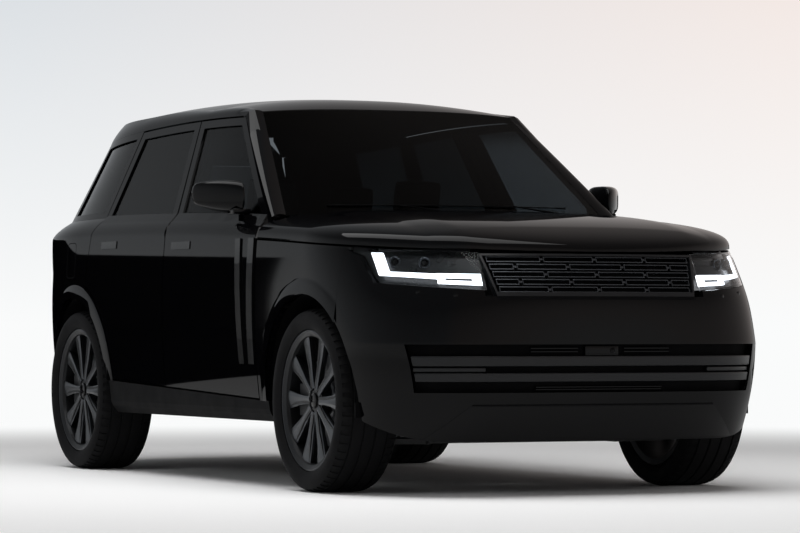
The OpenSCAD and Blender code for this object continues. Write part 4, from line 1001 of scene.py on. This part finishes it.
cells, links = [], []
g = grilleFace
pitch = (g["high"] - g["low"] - 20) / g["rows"]
for row in range(g["rows"]):
    z = g["high"] - 8 - (row + 0.5) * pitch
    half = grilleHalf(z) - 9
    splits = g["evenRow"] if row % 2 == 0 else g["oddRow"]
    for a, b in zip(splits, splits[1:]):
        y0, y1 = a * half + g["gap"] / 2, b * half - g["gap"] / 2
        cells.append(cellRing(y0, y1, z - g["cellHeight"] / 2, z + g["cellHeight"] / 2, g["front"]))
        if b < 1:
            rung = upright(y1 - 2, y1 + g["gap"] + 2, z - g["linkHeight"] / 2, z + g["linkHeight"] / 2)
            links.append(noseSheet(rung, g["front"] + 4, (2, 2), 10))
back = addPiece("grilleBack", noseSheet(grilleCorners(), g["back"], (40, 10), 4), "body", "satin_trim", "underbody")
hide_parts("grille")
addPiece("grilleCells", softened(gather(cells), 1.1), "body", "satin_trim", "rimmed")
addPiece("grilleLinks", gather(links), "body", "satin_trim", "rimmed")
addPiece("grilleFrame", noseSheet(grilleCorners(6), 3, g["frameGrid"], g["frameWall"], frameHole),
         "body", "satin_trim")
# a dark strip laid on the bumper just below the grille: painted shadow of the gap between the grille and the bumper
# below it
(lowHalf, highHalf), (lowDrop, highDrop) = g["shadowStripHalf"], g["shadowStripDrop"]
slot = [(-lowHalf, g["low"] - lowDrop), (lowHalf, g["low"] - lowDrop), (highHalf, g["low"] - highDrop),
        (-highHalf, g["low"] - highDrop)]
addPiece("grilleShadowStrip", noseSheet(slot, 0, (90, 3), 2, lift=0.8), "body", "satin_trim", "underbody")
print("grille ready")

# lower opening: two long satin bars, short third bars at the ends, thin ribs, a sensor box and the towing cover
intake = {"bars": [(489, 525), (555, 597)], "reach": 0.625, "thirdBar": (530, 806, 531, 549), "ribs": [446, 456, 466],
          "ribSpan": (-300, 300), "topRibs": [616, 630], "topSpans": [(-330, -110), (110, 330)], "ribUnder": 16,
          "ribWall": 12, "sensor": (-80, 78, 600, 640), "camera": (52, 621), "towCover": (300, 626), "towRadius": 17.5}


# a sheet across the opening, to the same share of the bumper on both sides
def openingSheet(share, z0, z1, t, counts, wall):
    return sheet(lambda u, v: bumperP(mix(-share, share, u), mix(z0, z1, v), t), counts, noseMiddle, wall=wall, lift=0)


def rib(span, z, count):
    return noseSheet(upright(*span, z - 2, z + 2), intake["ribUnder"], (count, 1), intake["ribWall"])


back = addPiece("intakeBack", openingSheet(bumperSkin["opening"], intakeLow, intakeHigh, 30, (80, 12), 4),
                "body", "satin_trim", "underbody")
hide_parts("intake_bars")
bars = [openingSheet(intake["reach"], z0, z1, 4, (120, 4), 24) for z0, z1 in intake["bars"]]
bars += [noseSheet(upright(*intake["thirdBar"]), 9, (30, 2), 20, side=side) for side in (-1, 1)]
addPiece("intakeBars", softened(gather(bars), 3.5, 3), "body", "satin_trim")
ribs = [rib(intake["ribSpan"], z, 40) for z in intake["ribs"]]
ribs += [rib(span, z, 20) for z in intake["topRibs"] for span in intake["topSpans"]]
addPiece("intakeRibs", gather(ribs), "body", "satin_trim", "gloss_trim")
addPiece("intakeSensor", softened(noseSheet(upright(*intake["sensor"]), 6, (8, 3), 22), 2.5),
         "body", "satin_trim", "gloss_trim")
addPiece("intakeCamera", turned([(-4, 12), (2, 12), (3, 9), (1, 7), (3, 4), (4, 0)], 32, noseAt(*intake["camera"], 5),
                                (1, 0, 0)), "body", "satin_trim", "gloss_trim")
r = intake["towRadius"]
addPiece("towCover", turned([(-14, r - 2), (-2, r), (0, r - 1), (0.6, r - 3), (0.6, 0)], 48,
                            noseAt(*intake["towCover"], 26), (1, 0, 0)), "body", "satin_trim", "trim")
print("lower opening ready")

# skid panel below the opening, its slot, and the parking sensors
skid = {"panel": [(-740, 246), (740, 246), (585, 384), (-585, 384)],
        "slot": [(-580, 387), (580, 387), (572, 394), (-572, 394)], "sensors": [(772, 866), (640, 852)]}
addPiece("skidPanel", noseSheet(skid["panel"], 0, (80, 14), 2, lift=1.4), "body", "satin_trim", "gloss_trim")
addPiece("skidSlot", noseSheet(skid["slot"], 0, (60, 2), 2, lift=0.8), "body", "satin_trim", "trim")
dots = []
for y, z in skid["sensors"]:
    for side in (-1, 1):
        place = Vector(noseAt(side * y, z))
        dots.append(turned([(-2, 10), (0.8, 10), (1.4, 9), (1.4, 0)], 32, place, place - Vector((900, 0, z))))
addPiece("parkingSensors", gather(dots), "body", "satin_trim", "gloss_trim")

# tyres with grooved tread; wheel details: turned rim edge, centre cap, five nuts and wedge spokes
tyreShape = {"half": 144, "radius": 399.9, "bead": 292.6, "grooves": (-84, -28, 28, 84), "grooveWidth": 9,
             "grooveDepth": 7, "steps": 120, "shoulder": (88, 128), "blockReach": 9.5, "sipeEdge": 1.2, "sipeDepth": 4}
wheelFace = {"rim": 292, "lip": 123, "cap": 33, "capOut": 100, "nutCircle": 56, "nuts": 5, "nut": 10, "spokes": 10,
             "spokeFrom": 52, "spokeWall": 14, "ridge": 0.32,
             "spokeWidths": [(52, 36), (110, 36), (180, 48), (288, 84)],
             "spokeFace": [(52, 101), (180, 100), (288, 106)]}


# a wedge spoke: a broad facet and a narrow one meet along a ridge that runs from the hub to the rim
def spokeSurface(place, side, degrees):
    f = wheelFace
    turn = math.radians(degrees)

    def surface(u, v):
        r = mix(f["spokeFrom"], f["rim"] - 4, u)
        wide, face = piecewise(r, f["spokeWidths"]), piecewise(r, f["spokeFace"])
        across = (v - 0.5) * wide
        out = face - 7 * abs(v - f["ridge"]) / (1 - f["ridge"]) - 3 * ramp(v, 0.7, 1)
        x, z = r * math.cos(turn) - across * math.sin(turn), r * math.sin(turn) + across * math.cos(turn)
        return (place[0] + x, place[1] + side * out, place[2] + z)
    return surface


def tyreProfile():
    t = tyreShape
    half, top, bead = t["half"], t["radius"], t["bead"]
    side = [(110, bead), (111.5, bead + 15.8), (126, bead + 19), (134, bead + 30), (142, bead + 45),
            (half, bead + 62), (142.5, top - 34), (138, top - 22), (130, top - 12), (118, top - 5.5), (104, top - 1.5)]
    tread = []
    for place in t["grooves"]:
        w, d = t["grooveWidth"] / 2, t["grooveDepth"]
        tread += [(place - w - 1, top), (place - w, top - 1.2), (place - w + 1.5, top - d),
                  (place + w - 1.5, top - d), (place + w, top - 1.2), (place + w + 1, top)]
    outline = [(-a, r) for a, r in side] + tread + [(a, r) for a, r in reversed(side)]
    return outline + [(110, bead + 8), (-110, bead + 8), outline[0]]


def tyreMesh(place, axis):
    t = tyreShape
    bm = turned(tyreProfile(), t["steps"], (0, 0, 0), (1, 0, 0))
    inner, outer = t["shoulder"]
    blocks = []
    for face in bm.faces:
        c = face.calc_center_median() / mm
        reach = math.hypot(c.y, c.z)
        step = round(math.atan2(c.z, c.y) / (2 * math.pi) * t["steps"] - 0.5)
        if reach > t["radius"] - t["blockReach"] and inner < abs(c.x) < outer and (step + (c.x > 0)) % 2 == 0:
            blocks.append(face)
    bmesh.ops.inset_region(bm, faces=blocks, thickness=t["sipeEdge"] * mm, depth=-t["sipeDepth"] * mm,
                           use_even_offset=True)
    return moved(bm, place, axis)


for end, axle, side in (("fl", axleFront, 1), ("fr", axleFront, -1), ("rl", axleRear, 1), ("rr", axleRear, -1)):
    f = wheelFace
    place, axis = (axle, wheelPlane * side, axleHeight), (0, side, 0)
    tyre = addPiece("treadedTyre_" + end, tyreMesh(place, axis), "wheel_" + end, "tyre", sharp=28)
    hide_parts("tyre_" + end)
    r, lip = f["rim"], f["lip"]
    edge = [(lip - 6, r + 15.4), (lip - 1, r + 14.5), (lip + 0.4, r + 11), (lip - 1, r + 8), (lip - 6, r + 9),
            (lip - 6, r + 15.4)]
    addPiece("rimEdge_" + end, turned(edge, 120, place, axis), "wheel_" + end, "wheel", "rimEdge")
    cap, out = f["cap"], f["capOut"]
    dome = [(out - 4, cap + 1), (out + 1, cap + 1), (out + 2.4, cap - 1), (out + 1.6, cap - 3), (out + 3.4, cap - 9),
            (out + 4, 0)]
    addPiece("wheelCap_" + end, turned(dome, 64, place, axis), "wheel_" + end, "wheel", "gloss_trim")
    nuts, nut = [], f["nut"]
    for i in range(f["nuts"]):
        a = 2 * math.pi * (i + 0.5) / f["nuts"]
        spot = (axle + f["nutCircle"] * math.cos(a), wheelPlane * side, axleHeight + f["nutCircle"] * math.sin(a))
        nuts.append(turned([(72, nut - 1), (84, nut - 1), (87, nut - 3), (88, 0)], 6, spot, axis))
    addPiece("wheelNuts_" + end, gather(nuts), "wheel_" + end, "wheel", "steel", sharp=20)
    spokes = [sheet(spokeSurface(place, side, 360 / f["spokes"] * i), (8, 4), place, wall=f["spokeWall"], lift=0)
              for i in range(f["spokes"])]
    addPiece("wheelSpokes_" + end, gather(spokes), "wheel_" + end, "wheel", "spoke", sharp=12)
print("wheels and tyres ready")

# door mirrors: a lofted shell on a foot, with its glass
mirrorHead = {"inner": 930, "outer": 1104.3, "back": 545, "height": 76, "middle": 1316, "rise": 18, "slope": 0.72,
              "grid": (48, 30), "foot": (690, 770, 1262), "footOuter": 985, "glass": (0.1, 0.88, 0.72)}


# half height of the shell at a share f of its width
def mirrorHalf(f):
    return mirrorHead["height"] * math.sqrt(1 - mirrorHead["slope"] * f * f)


def mirrorRing(u, f):
    m = mirrorHead
    a = 2 * math.pi * u
    y = mix(m["inner"], m["outer"], f)
    front = mix(790, 560, f ** 1.6)
    end = math.sqrt(max(0, 1 - max(0, (f - 0.9) / 0.1, (0.06 - f) / 0.06) ** 2))
    h = mirrorHalf(f) * mix(0.25, 1, end)
    x = (m["back"] + front) / 2 + (front - m["back"]) / 2 * signedPower(math.cos(a), 0.6) * mix(0.7, 1, end)
    return (x, y, m["middle"] + m["rise"] * f + h * signedPower(math.sin(a), 0.6))


def mirrorShell(side):
    m = mirrorHead
    bm = bmesh.new()
    bmesh.ops.create_grid(bm, x_segments=m["grid"][0], y_segments=m["grid"][1], size=0.5)
    for vert in bm.verts:
        vert.co = Vector(mirrored(mirrorRing(vert.co.x + 0.5, vert.co.y + 0.5), side)) * mm
    bmesh.ops.remove_doubles(bm, verts=bm.verts[:], dist=1e-5)
    bmesh.ops.holes_fill(bm, edges=[e for e in bm.edges if e.is_boundary], sides=0)
    bmesh.ops.recalc_face_normals(bm, faces=bm.faces[:])
    return bm


for end, word, side in (("fl", "Left", 1), ("fr", "Right", -1)):
    m = mirrorHead
    x0, x1, top = m["foot"]
    low = boxMm("mirror_" + word.lower())[0].z
    y0, y1 = sorted((side * (sideY(x0, low) + 4), side * m["footOuter"]))
    shell = addPiece("mirrorShell" + word, gather([mirrorShell(side), block((x0, y0, low), (x1, y1, top))]),
                     "door_" + end, "gloss_trim", sharp=50)
    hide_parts("mirror_" + word.lower())

    def mirrorGlass(u, v):
        first, last, share = m["glass"]
        f = mix(first, last, u)
        z = m["middle"] + m["rise"] * f + mirrorHalf(f) * share * (2 * v - 1)
        return mirrored((m["back"] - 0.8, mix(m["inner"], m["outer"], f), z), side)
    addPiece("mirrorGlass" + word, sheet(mirrorGlass, (16, 8), (800, 1000 * side, 1300), wall=1.5, lift=0),
             "door_" + end, "gloss_trim", "mirror")
print("mirrors ready")

# wheel arch trims: the dull plastic returns between the arch edge and its liner
archTrim = {"inner": 882, "grid": (48, 4), "lift": 2}
for word, axle, low in (("Front", axleFront, 0.0), ("Rear", axleRear, 0.13)):
    for hand, side in hands:
        def trimSurface(u, v):
            a = mix(low, math.pi - low, u)
            r = car["arch"] + archTrim["lift"]
            x, z = axle + r * math.cos(a), axleHeight + r * math.sin(a)
            return mirrored((x, mix(archTrim["inner"], sideY(x, z) - 3, v), z), side)
        bm = sheet(trimSurface, archTrim["grid"], (axle, wheelPlane * side, 3000), wall=3, lift=0)
        addPiece("archTrim" + word + hand, bm, "body", "trim")

# wipers and the slatted cowl; across in mm, rows as shares of the screen's height
wiper = {"feet": [(560, 60), (-40, -560)], "armFoot": 0.02, "armTop": 0.072, "bladeRow": 0.082, "lead": 60, "joints": 6}
cowl = {"half": 700, "step": 28, "edge": 1128, "sweep": 2.4e-4, "long": (34, 3)}


# a slim tapered bar from a to b, in mm
def rodAlong(a, b, wide, tall):
    bm = bmesh.new()
    bmesh.ops.create_cube(bm, size=1)
    lengthwise = [e for e in bm.edges if abs(e.verts[0].co.x - e.verts[1].co.x) > 0.5]
    bmesh.ops.subdivide_edges(bm, edges=lengthwise, cuts=6)
    for vert in bm.verts:
        slim = mix(1, 0.6, vert.co.x + 0.5)
        vert.co.y *= slim
        vert.co.z *= slim
    d = Vector(b) - Vector(a)
    scale = Matrix.Diagonal((d.length * mm, wide * mm, tall * mm, 1))
    turn = d.to_track_quat("X", "Z").to_matrix().to_4x4()
    middle = Matrix.Translation((Vector(a) + Vector(b)) / 2 * mm)
    bmesh.ops.transform(bm, matrix=middle @ turn @ scale, verts=bm.verts[:])
    return softened(bm, 1.5)


def onScreen(y, g, off):
    return screenP(y / screenHalf, g) + Vector((0.66, 0, 0.75)) * off


parts = []
for foot, tip in wiper["feet"]:
    arm = onScreen(mix(foot, tip, 0.5), wiper["armTop"], 14)
    parts.append(rodAlong(onScreen(foot, wiper["armFoot"], 10), arm, 16, 9))
    for k in range(wiper["joints"]):
        y0, y1 = (mix(foot + wiper["lead"], tip - wiper["lead"], i / wiper["joints"]) for i in (k, k + 1))
        parts.append(rodAlong(onScreen(y0, wiper["bladeRow"], 4), onScreen(y1, wiper["bladeRow"], 4), 10, 7))
addPiece("wipers", gather(parts), "body", "trim")
slats = []
for y in range(-cowl["half"], cowl["half"] + 1, cowl["step"]):
    foot = cowl["edge"] - cowl["sweep"] * y * y
    back, front = (foot - far for far in cowl["long"])
    slats.append(rodAlong((back, y, screenZ - 0.5), (front, y, screenZ - 1.5), 9, 3))
addPiece("cowlSlats", gather(slats), "body", "trim")

# seats: crowned leather cushions over each seat's solid, with sewn channels pressed in. A row is the x of its seats,
# the y of each and their width; a cushion is its length, thickness, way ahead of x, height, lean and crown
seatShape = {"front": (60, (-390, 390), 500), "rear": (-830, (-420, 0, 420), 413), "channels": 5,
             "channelDepth": 5, "seamDepth": 7, "seamAt": 0.64, "bolster": 16, "cuts": 23,
             "cushions": {"Base": (510, 190, 285, 560, -5, 14), "Back": (620, 130, -96, 935, -67, 12),
                          "Head": (190, 76, -285, 1345, -76, 10)},
             "headWidth": 240, "headInset": 170, "floor": 410.5, "plinthTop": 478, "frontPlinth": (100, 500, 190),
             "rearPlinth": (-800, -400, 600), "post": (-262, 55, 1225), "postLean": (-0.26, 0, 0.97)}


# a cushion of a given size in mm, x along, y across and z out, pressed by its channels and then placed by a matrix
def cushion(size, matrix, channels, crown):
    s = seatShape
    bm = bmesh.new()
    bmesh.ops.create_cube(bm, size=1)
    bmesh.ops.subdivide_edges(bm, edges=bm.edges[:], cuts=s["cuts"], use_grid_fill=True)
    for vert in bm.verts:
        x, y, z = (2 * c for c in vert.co)
        pull = 1 - 0.05 * (1 - x * x) * (y * y)
        swell = (1 - x ** 4) * (1 - y ** 4)
        lift = crown * swell
        if channels:
            groove = math.exp(-((x * channels / 2 + 0.5) % 1 - 0.5) ** 2 / 0.004) if abs(y) < 0.62 else 0
            seam = math.exp(-((abs(y) - s["seamAt"]) / 0.03) ** 2)
            lift += s["bolster"] * ramp(abs(y), 0.66, 0.9)
            lift -= (s["channelDepth"] * groove + s["seamDepth"] * seam) * swell ** 0.5
        corner = 1 - 0.04 * (x * x * y * y + y * y * z * z + z * z * x * x)
        vert.co = Vector((x * size[0] / 2 * corner, y * size[1] / 2 * pull * corner,
                          z * size[2] / 2 * corner + (lift if z > 0 else 0) * max(0, z))) * mm
    for _ in range(3):
        bmesh.ops.smooth_vert(bm, verts=bm.verts[:], factor=0.5, use_axis_x=True, use_axis_y=True, use_axis_z=True)
    bmesh.ops.transform(bm, matrix=matrix, verts=bm.verts[:])
    return bm


def placed(x, y, z, lean):
    return Matrix.Translation(Vector((x, y, z)) * mm) @ Matrix.Rotation(math.radians(lean), 4, "Y")


def seatPieces(name, x, y, width):
    s = seatShape
    for word, (long, thick, ahead, height, lean, crown) in s["cushions"].items():
        head = word == "Head"
        wide = min(s["headWidth"], width - s["headInset"]) if head else width
        bm = cushion((long, wide, thick), placed(x + ahead, y, height, lean), 0 if head else s["channels"], crown)
        piece = addPiece(name + word, bm, "body", "leather", sharp=80)
        yield piece


seatNames = [(row + "Seat" + word, x, y, width)
             for row, words in (("front", ("Right", "Left")), ("rear", ("Right", "Middle", "Left")))
             for x, places, width in (seatShape[row],) for word, y in zip(words, places)]
allSeats = [piece for name, x, y, width in seatNames for piece in seatPieces(name, x, y, width)]
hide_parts("seats")


def plinth(name, y):
    x0, x1, half = seatShape[name]
    return block((x0, y - half, seatShape["floor"]), (x1, y + half, seatShape["plinthTop"]))


# seat plinths on the floor and the posts of the head restraints
plinths = [plinth("frontPlinth", y) for y in seatShape["front"][1]] + [plinth("rearPlinth", 0)]
addPiece("seatPlinths", gather(plinths), "body", "cabin")
ahead, across, height = seatShape["post"]
posts = [turned([(-60, 0), (-60, 6), (90, 6), (90, 0)], 20, (x + ahead, y + side * across, height),
                seatShape["postLean"]) for name, x, y, width in seatNames for side in (-1, 1)]
addPiece("headrestPosts", gather(posts), "body", "steel")
print("seats padded")

# studio: a pale floor that runs out into an even pale backdrop; the camera, gloss and glass see the backdrop's
# own colour, and everything else gets a soft fill
studio = {"floor": "#fefefe", "horizon": "#fafbfb", "coolTop": "#dde1e5", "warmTop": "#f3e9e5", "felt": "#020202",
          "size": 90, "fill": 0.28, "clear": 3.6, "away": 9.5, "topAt": 0.085, "sideAt": 0.1,
          "sideways": (0.412, 0.911, 0), "ceiling": 0.4, "ceilingFrom": 0.1, "ceilingTo": 0.45,
          "flagHeight": 3.0, "matHeight": 0.01,
          "flagNear": ((-4.5, -3.4), (-4.5, 9)), "flagFar": ((-27.4, 26), (-27.4, -12.8))}


def seenDirectly(tree):
    path = addNode(tree, "ShaderNodeLightPath")
    seen = path.outputs["Is Camera Ray"]
    for ray in ("Is Glossy Ray", "Is Transmission Ray"):
        most = addNode(tree, "ShaderNodeMath", {"operation": "MAXIMUM"})
        tree.node_tree.links.new(seen, most.inputs[0])
        tree.node_tree.links.new(path.outputs[ray], most.inputs[1])
        seen = most.outputs[0]
    return seen


def paperSweep(material, shader):
    place = addNode(material, "ShaderNodeTexCoord")
    away = addNode(material, "ShaderNodeVectorMath", {"operation": "LENGTH"}, {0: place.outputs["Object"]})
    fade = addNode(material, "ShaderNodeMapRange", {"interpolation_type": "SMOOTHSTEP", "From Min": studio["clear"],
                   "From Max": studio["away"]}, {"Value": away.outputs["Value"]})
    part = addNode(material, "ShaderNodeMath", {"operation": "MULTIPLY"},
                   {0: fade.outputs[0], 1: seenDirectly(material)})
    glow = addNode(material, "ShaderNodeEmission", {"Color": linear(studio["horizon"]), "Strength": 1.0})
    blend = addNode(material, "ShaderNodeMixShader", {},
                    {0: part.outputs[0], 1: shader.outputs[0], 2: glow.outputs[0]})
    material.node_tree.links.new(blend.outputs[0], material.node_tree.nodes["Material Output"].inputs["Surface"])


bm = bmesh.new()
bmesh.ops.create_grid(bm, x_segments=1, y_segments=1, size=studio["size"])
# matt white paper
paper = newMaterial("studioPaper", studio["floor"], 0.9, paperSweep, specular=0.1)
floor = addObject("studioFloor", bm, paper)

world = bpy.data.worlds.new("paleStudio")
bpy.context.scene.world = world
world.use_nodes = True
fill = world.node_tree.nodes["Background"]
# the backdrop pales towards the floor, cool on the left and warm on the right
aim = addNode(world, "ShaderNodeTexCoord").outputs["Generated"]
height = addNode(world, "ShaderNodeSeparateXYZ", {}, {0: aim}).outputs["Z"]
across = addNode(world, "ShaderNodeVectorMath", {"operation": "DOT_PRODUCT", 1: studio["sideways"]}, {0: aim})
turn = addNode(world, "ShaderNodeMapRange", {"From Min": -studio["sideAt"], "From Max": studio["sideAt"]},
               {"Value": across.outputs["Value"]})
tops = addNode(world, "ShaderNodeMix", {"data_type": "RGBA", 6: linear(studio["coolTop"]),
               7: linear(studio["warmTop"])}, {0: turn.outputs[0]})
rise = addNode(world, "ShaderNodeMapRange", {"From Min": 0.0, "From Max": studio["topAt"]}, {"Value": height})
sky = addNode(world, "ShaderNodeMix", {"data_type": "RGBA", 6: linear(studio["horizon"])},
              {0: rise.outputs[0], 7: tops.outputs[2]})
world.node_tree.links.new(sky.outputs[2], fill.inputs["Color"])
strength = addNode(world, "ShaderNodeMapRange", {"To Min": studio["fill"], "To Max": 1.0},
                   {"Value": seenDirectly(world)})
# overhead the studio is darker than its walls
dim = addNode(world, "ShaderNodeMapRange", {"From Min": studio["ceilingFrom"], "From Max": studio["ceilingTo"],
              "To Min": 1.0, "To Max": studio["ceiling"]}, {"Value": height})
level = addNode(world, "ShaderNodeMath", {"operation": "MULTIPLY"}, {0: strength.outputs[0], 1: dim.outputs[0]})
world.node_tree.links.new(level.outputs[0], fill.inputs["Strength"])

# a low black flag far behind the car and a black mat before it, which only show as the dark lower half of the
# doors' reflection; corners in metres
flag = bmesh.new()
near, far = studio["flagNear"], studio["flagFar"]
mat = [(x, y, studio["matHeight"]) for x, y in near + far]
card = [(x, y, z) for (x, y), z in zip(far + far[::-1], (0, 0, studio["flagHeight"], studio["flagHeight"]))]
for corners in (mat, card):
    flag.faces.new([flag.verts.new(corner) for corner in corners])
# black felt
blackFlag = addObject("blackFlag", flag, newMaterial("blackFelt", studio["felt"], 1.0, specular=0.0))
for ray in ("camera", "diffuse", "transmission", "shadow", "volume_scatter"):
    setattr(blackFlag, "visible_" + ray, False)

lamps = {"top": ((1.0, -1.5, 6.5), (9.0, 4.5), 480), "side": ((4.0, -11.0, 5.0), (9.0, 2.5), 150),
         "front": ((13.0, 4.0, 6.0), (6.0, 3.0), 150)}
for name, (place, size, power) in lamps.items():
    data = bpy.data.lights.new(name + "Softbox", "AREA")
    data.shape = "RECTANGLE"
    data.size, data.size_y = size
    data.energy = power
    lamp = bpy.data.objects.new(name + "Softbox", data)
    lamp.visible_glossy = name == "top"
    lamp.location = place
    lamp.rotation_euler = (Vector((0, 0, 0.8)) - Vector(place)).to_track_quat("-Z", "Y").to_euler()
    bpy.context.scene.collection.objects.link(lamp)

# camera as solved from the photograph: place in metres, heading and pitch in degrees, focal length in mm
view = {"place": (16.7467, -7.3809, 0.7305), "heading": 155.651, "pitch": 0.884, "lens": 169.46}
cameraData = bpy.data.cameras.new("camera")
cameraData.lens = view["lens"]
cameraData.sensor_width = 36
cameraData.clip_end = 200
camera = bpy.data.objects.new("camera", cameraData)
heading, pitch = math.radians(view["heading"]), math.radians(view["pitch"])
forward = Vector((math.cos(pitch) * math.cos(heading), math.cos(pitch) * math.sin(heading), math.sin(pitch)))
camera.location = view["place"]
camera.rotation_euler = forward.to_track_quat("-Z", "Y").to_euler()
bpy.context.scene.collection.objects.link(camera)
bpy.context.scene.camera = camera
bpy.context.scene.view_settings.view_transform = "Standard"
print("studio and camera set")
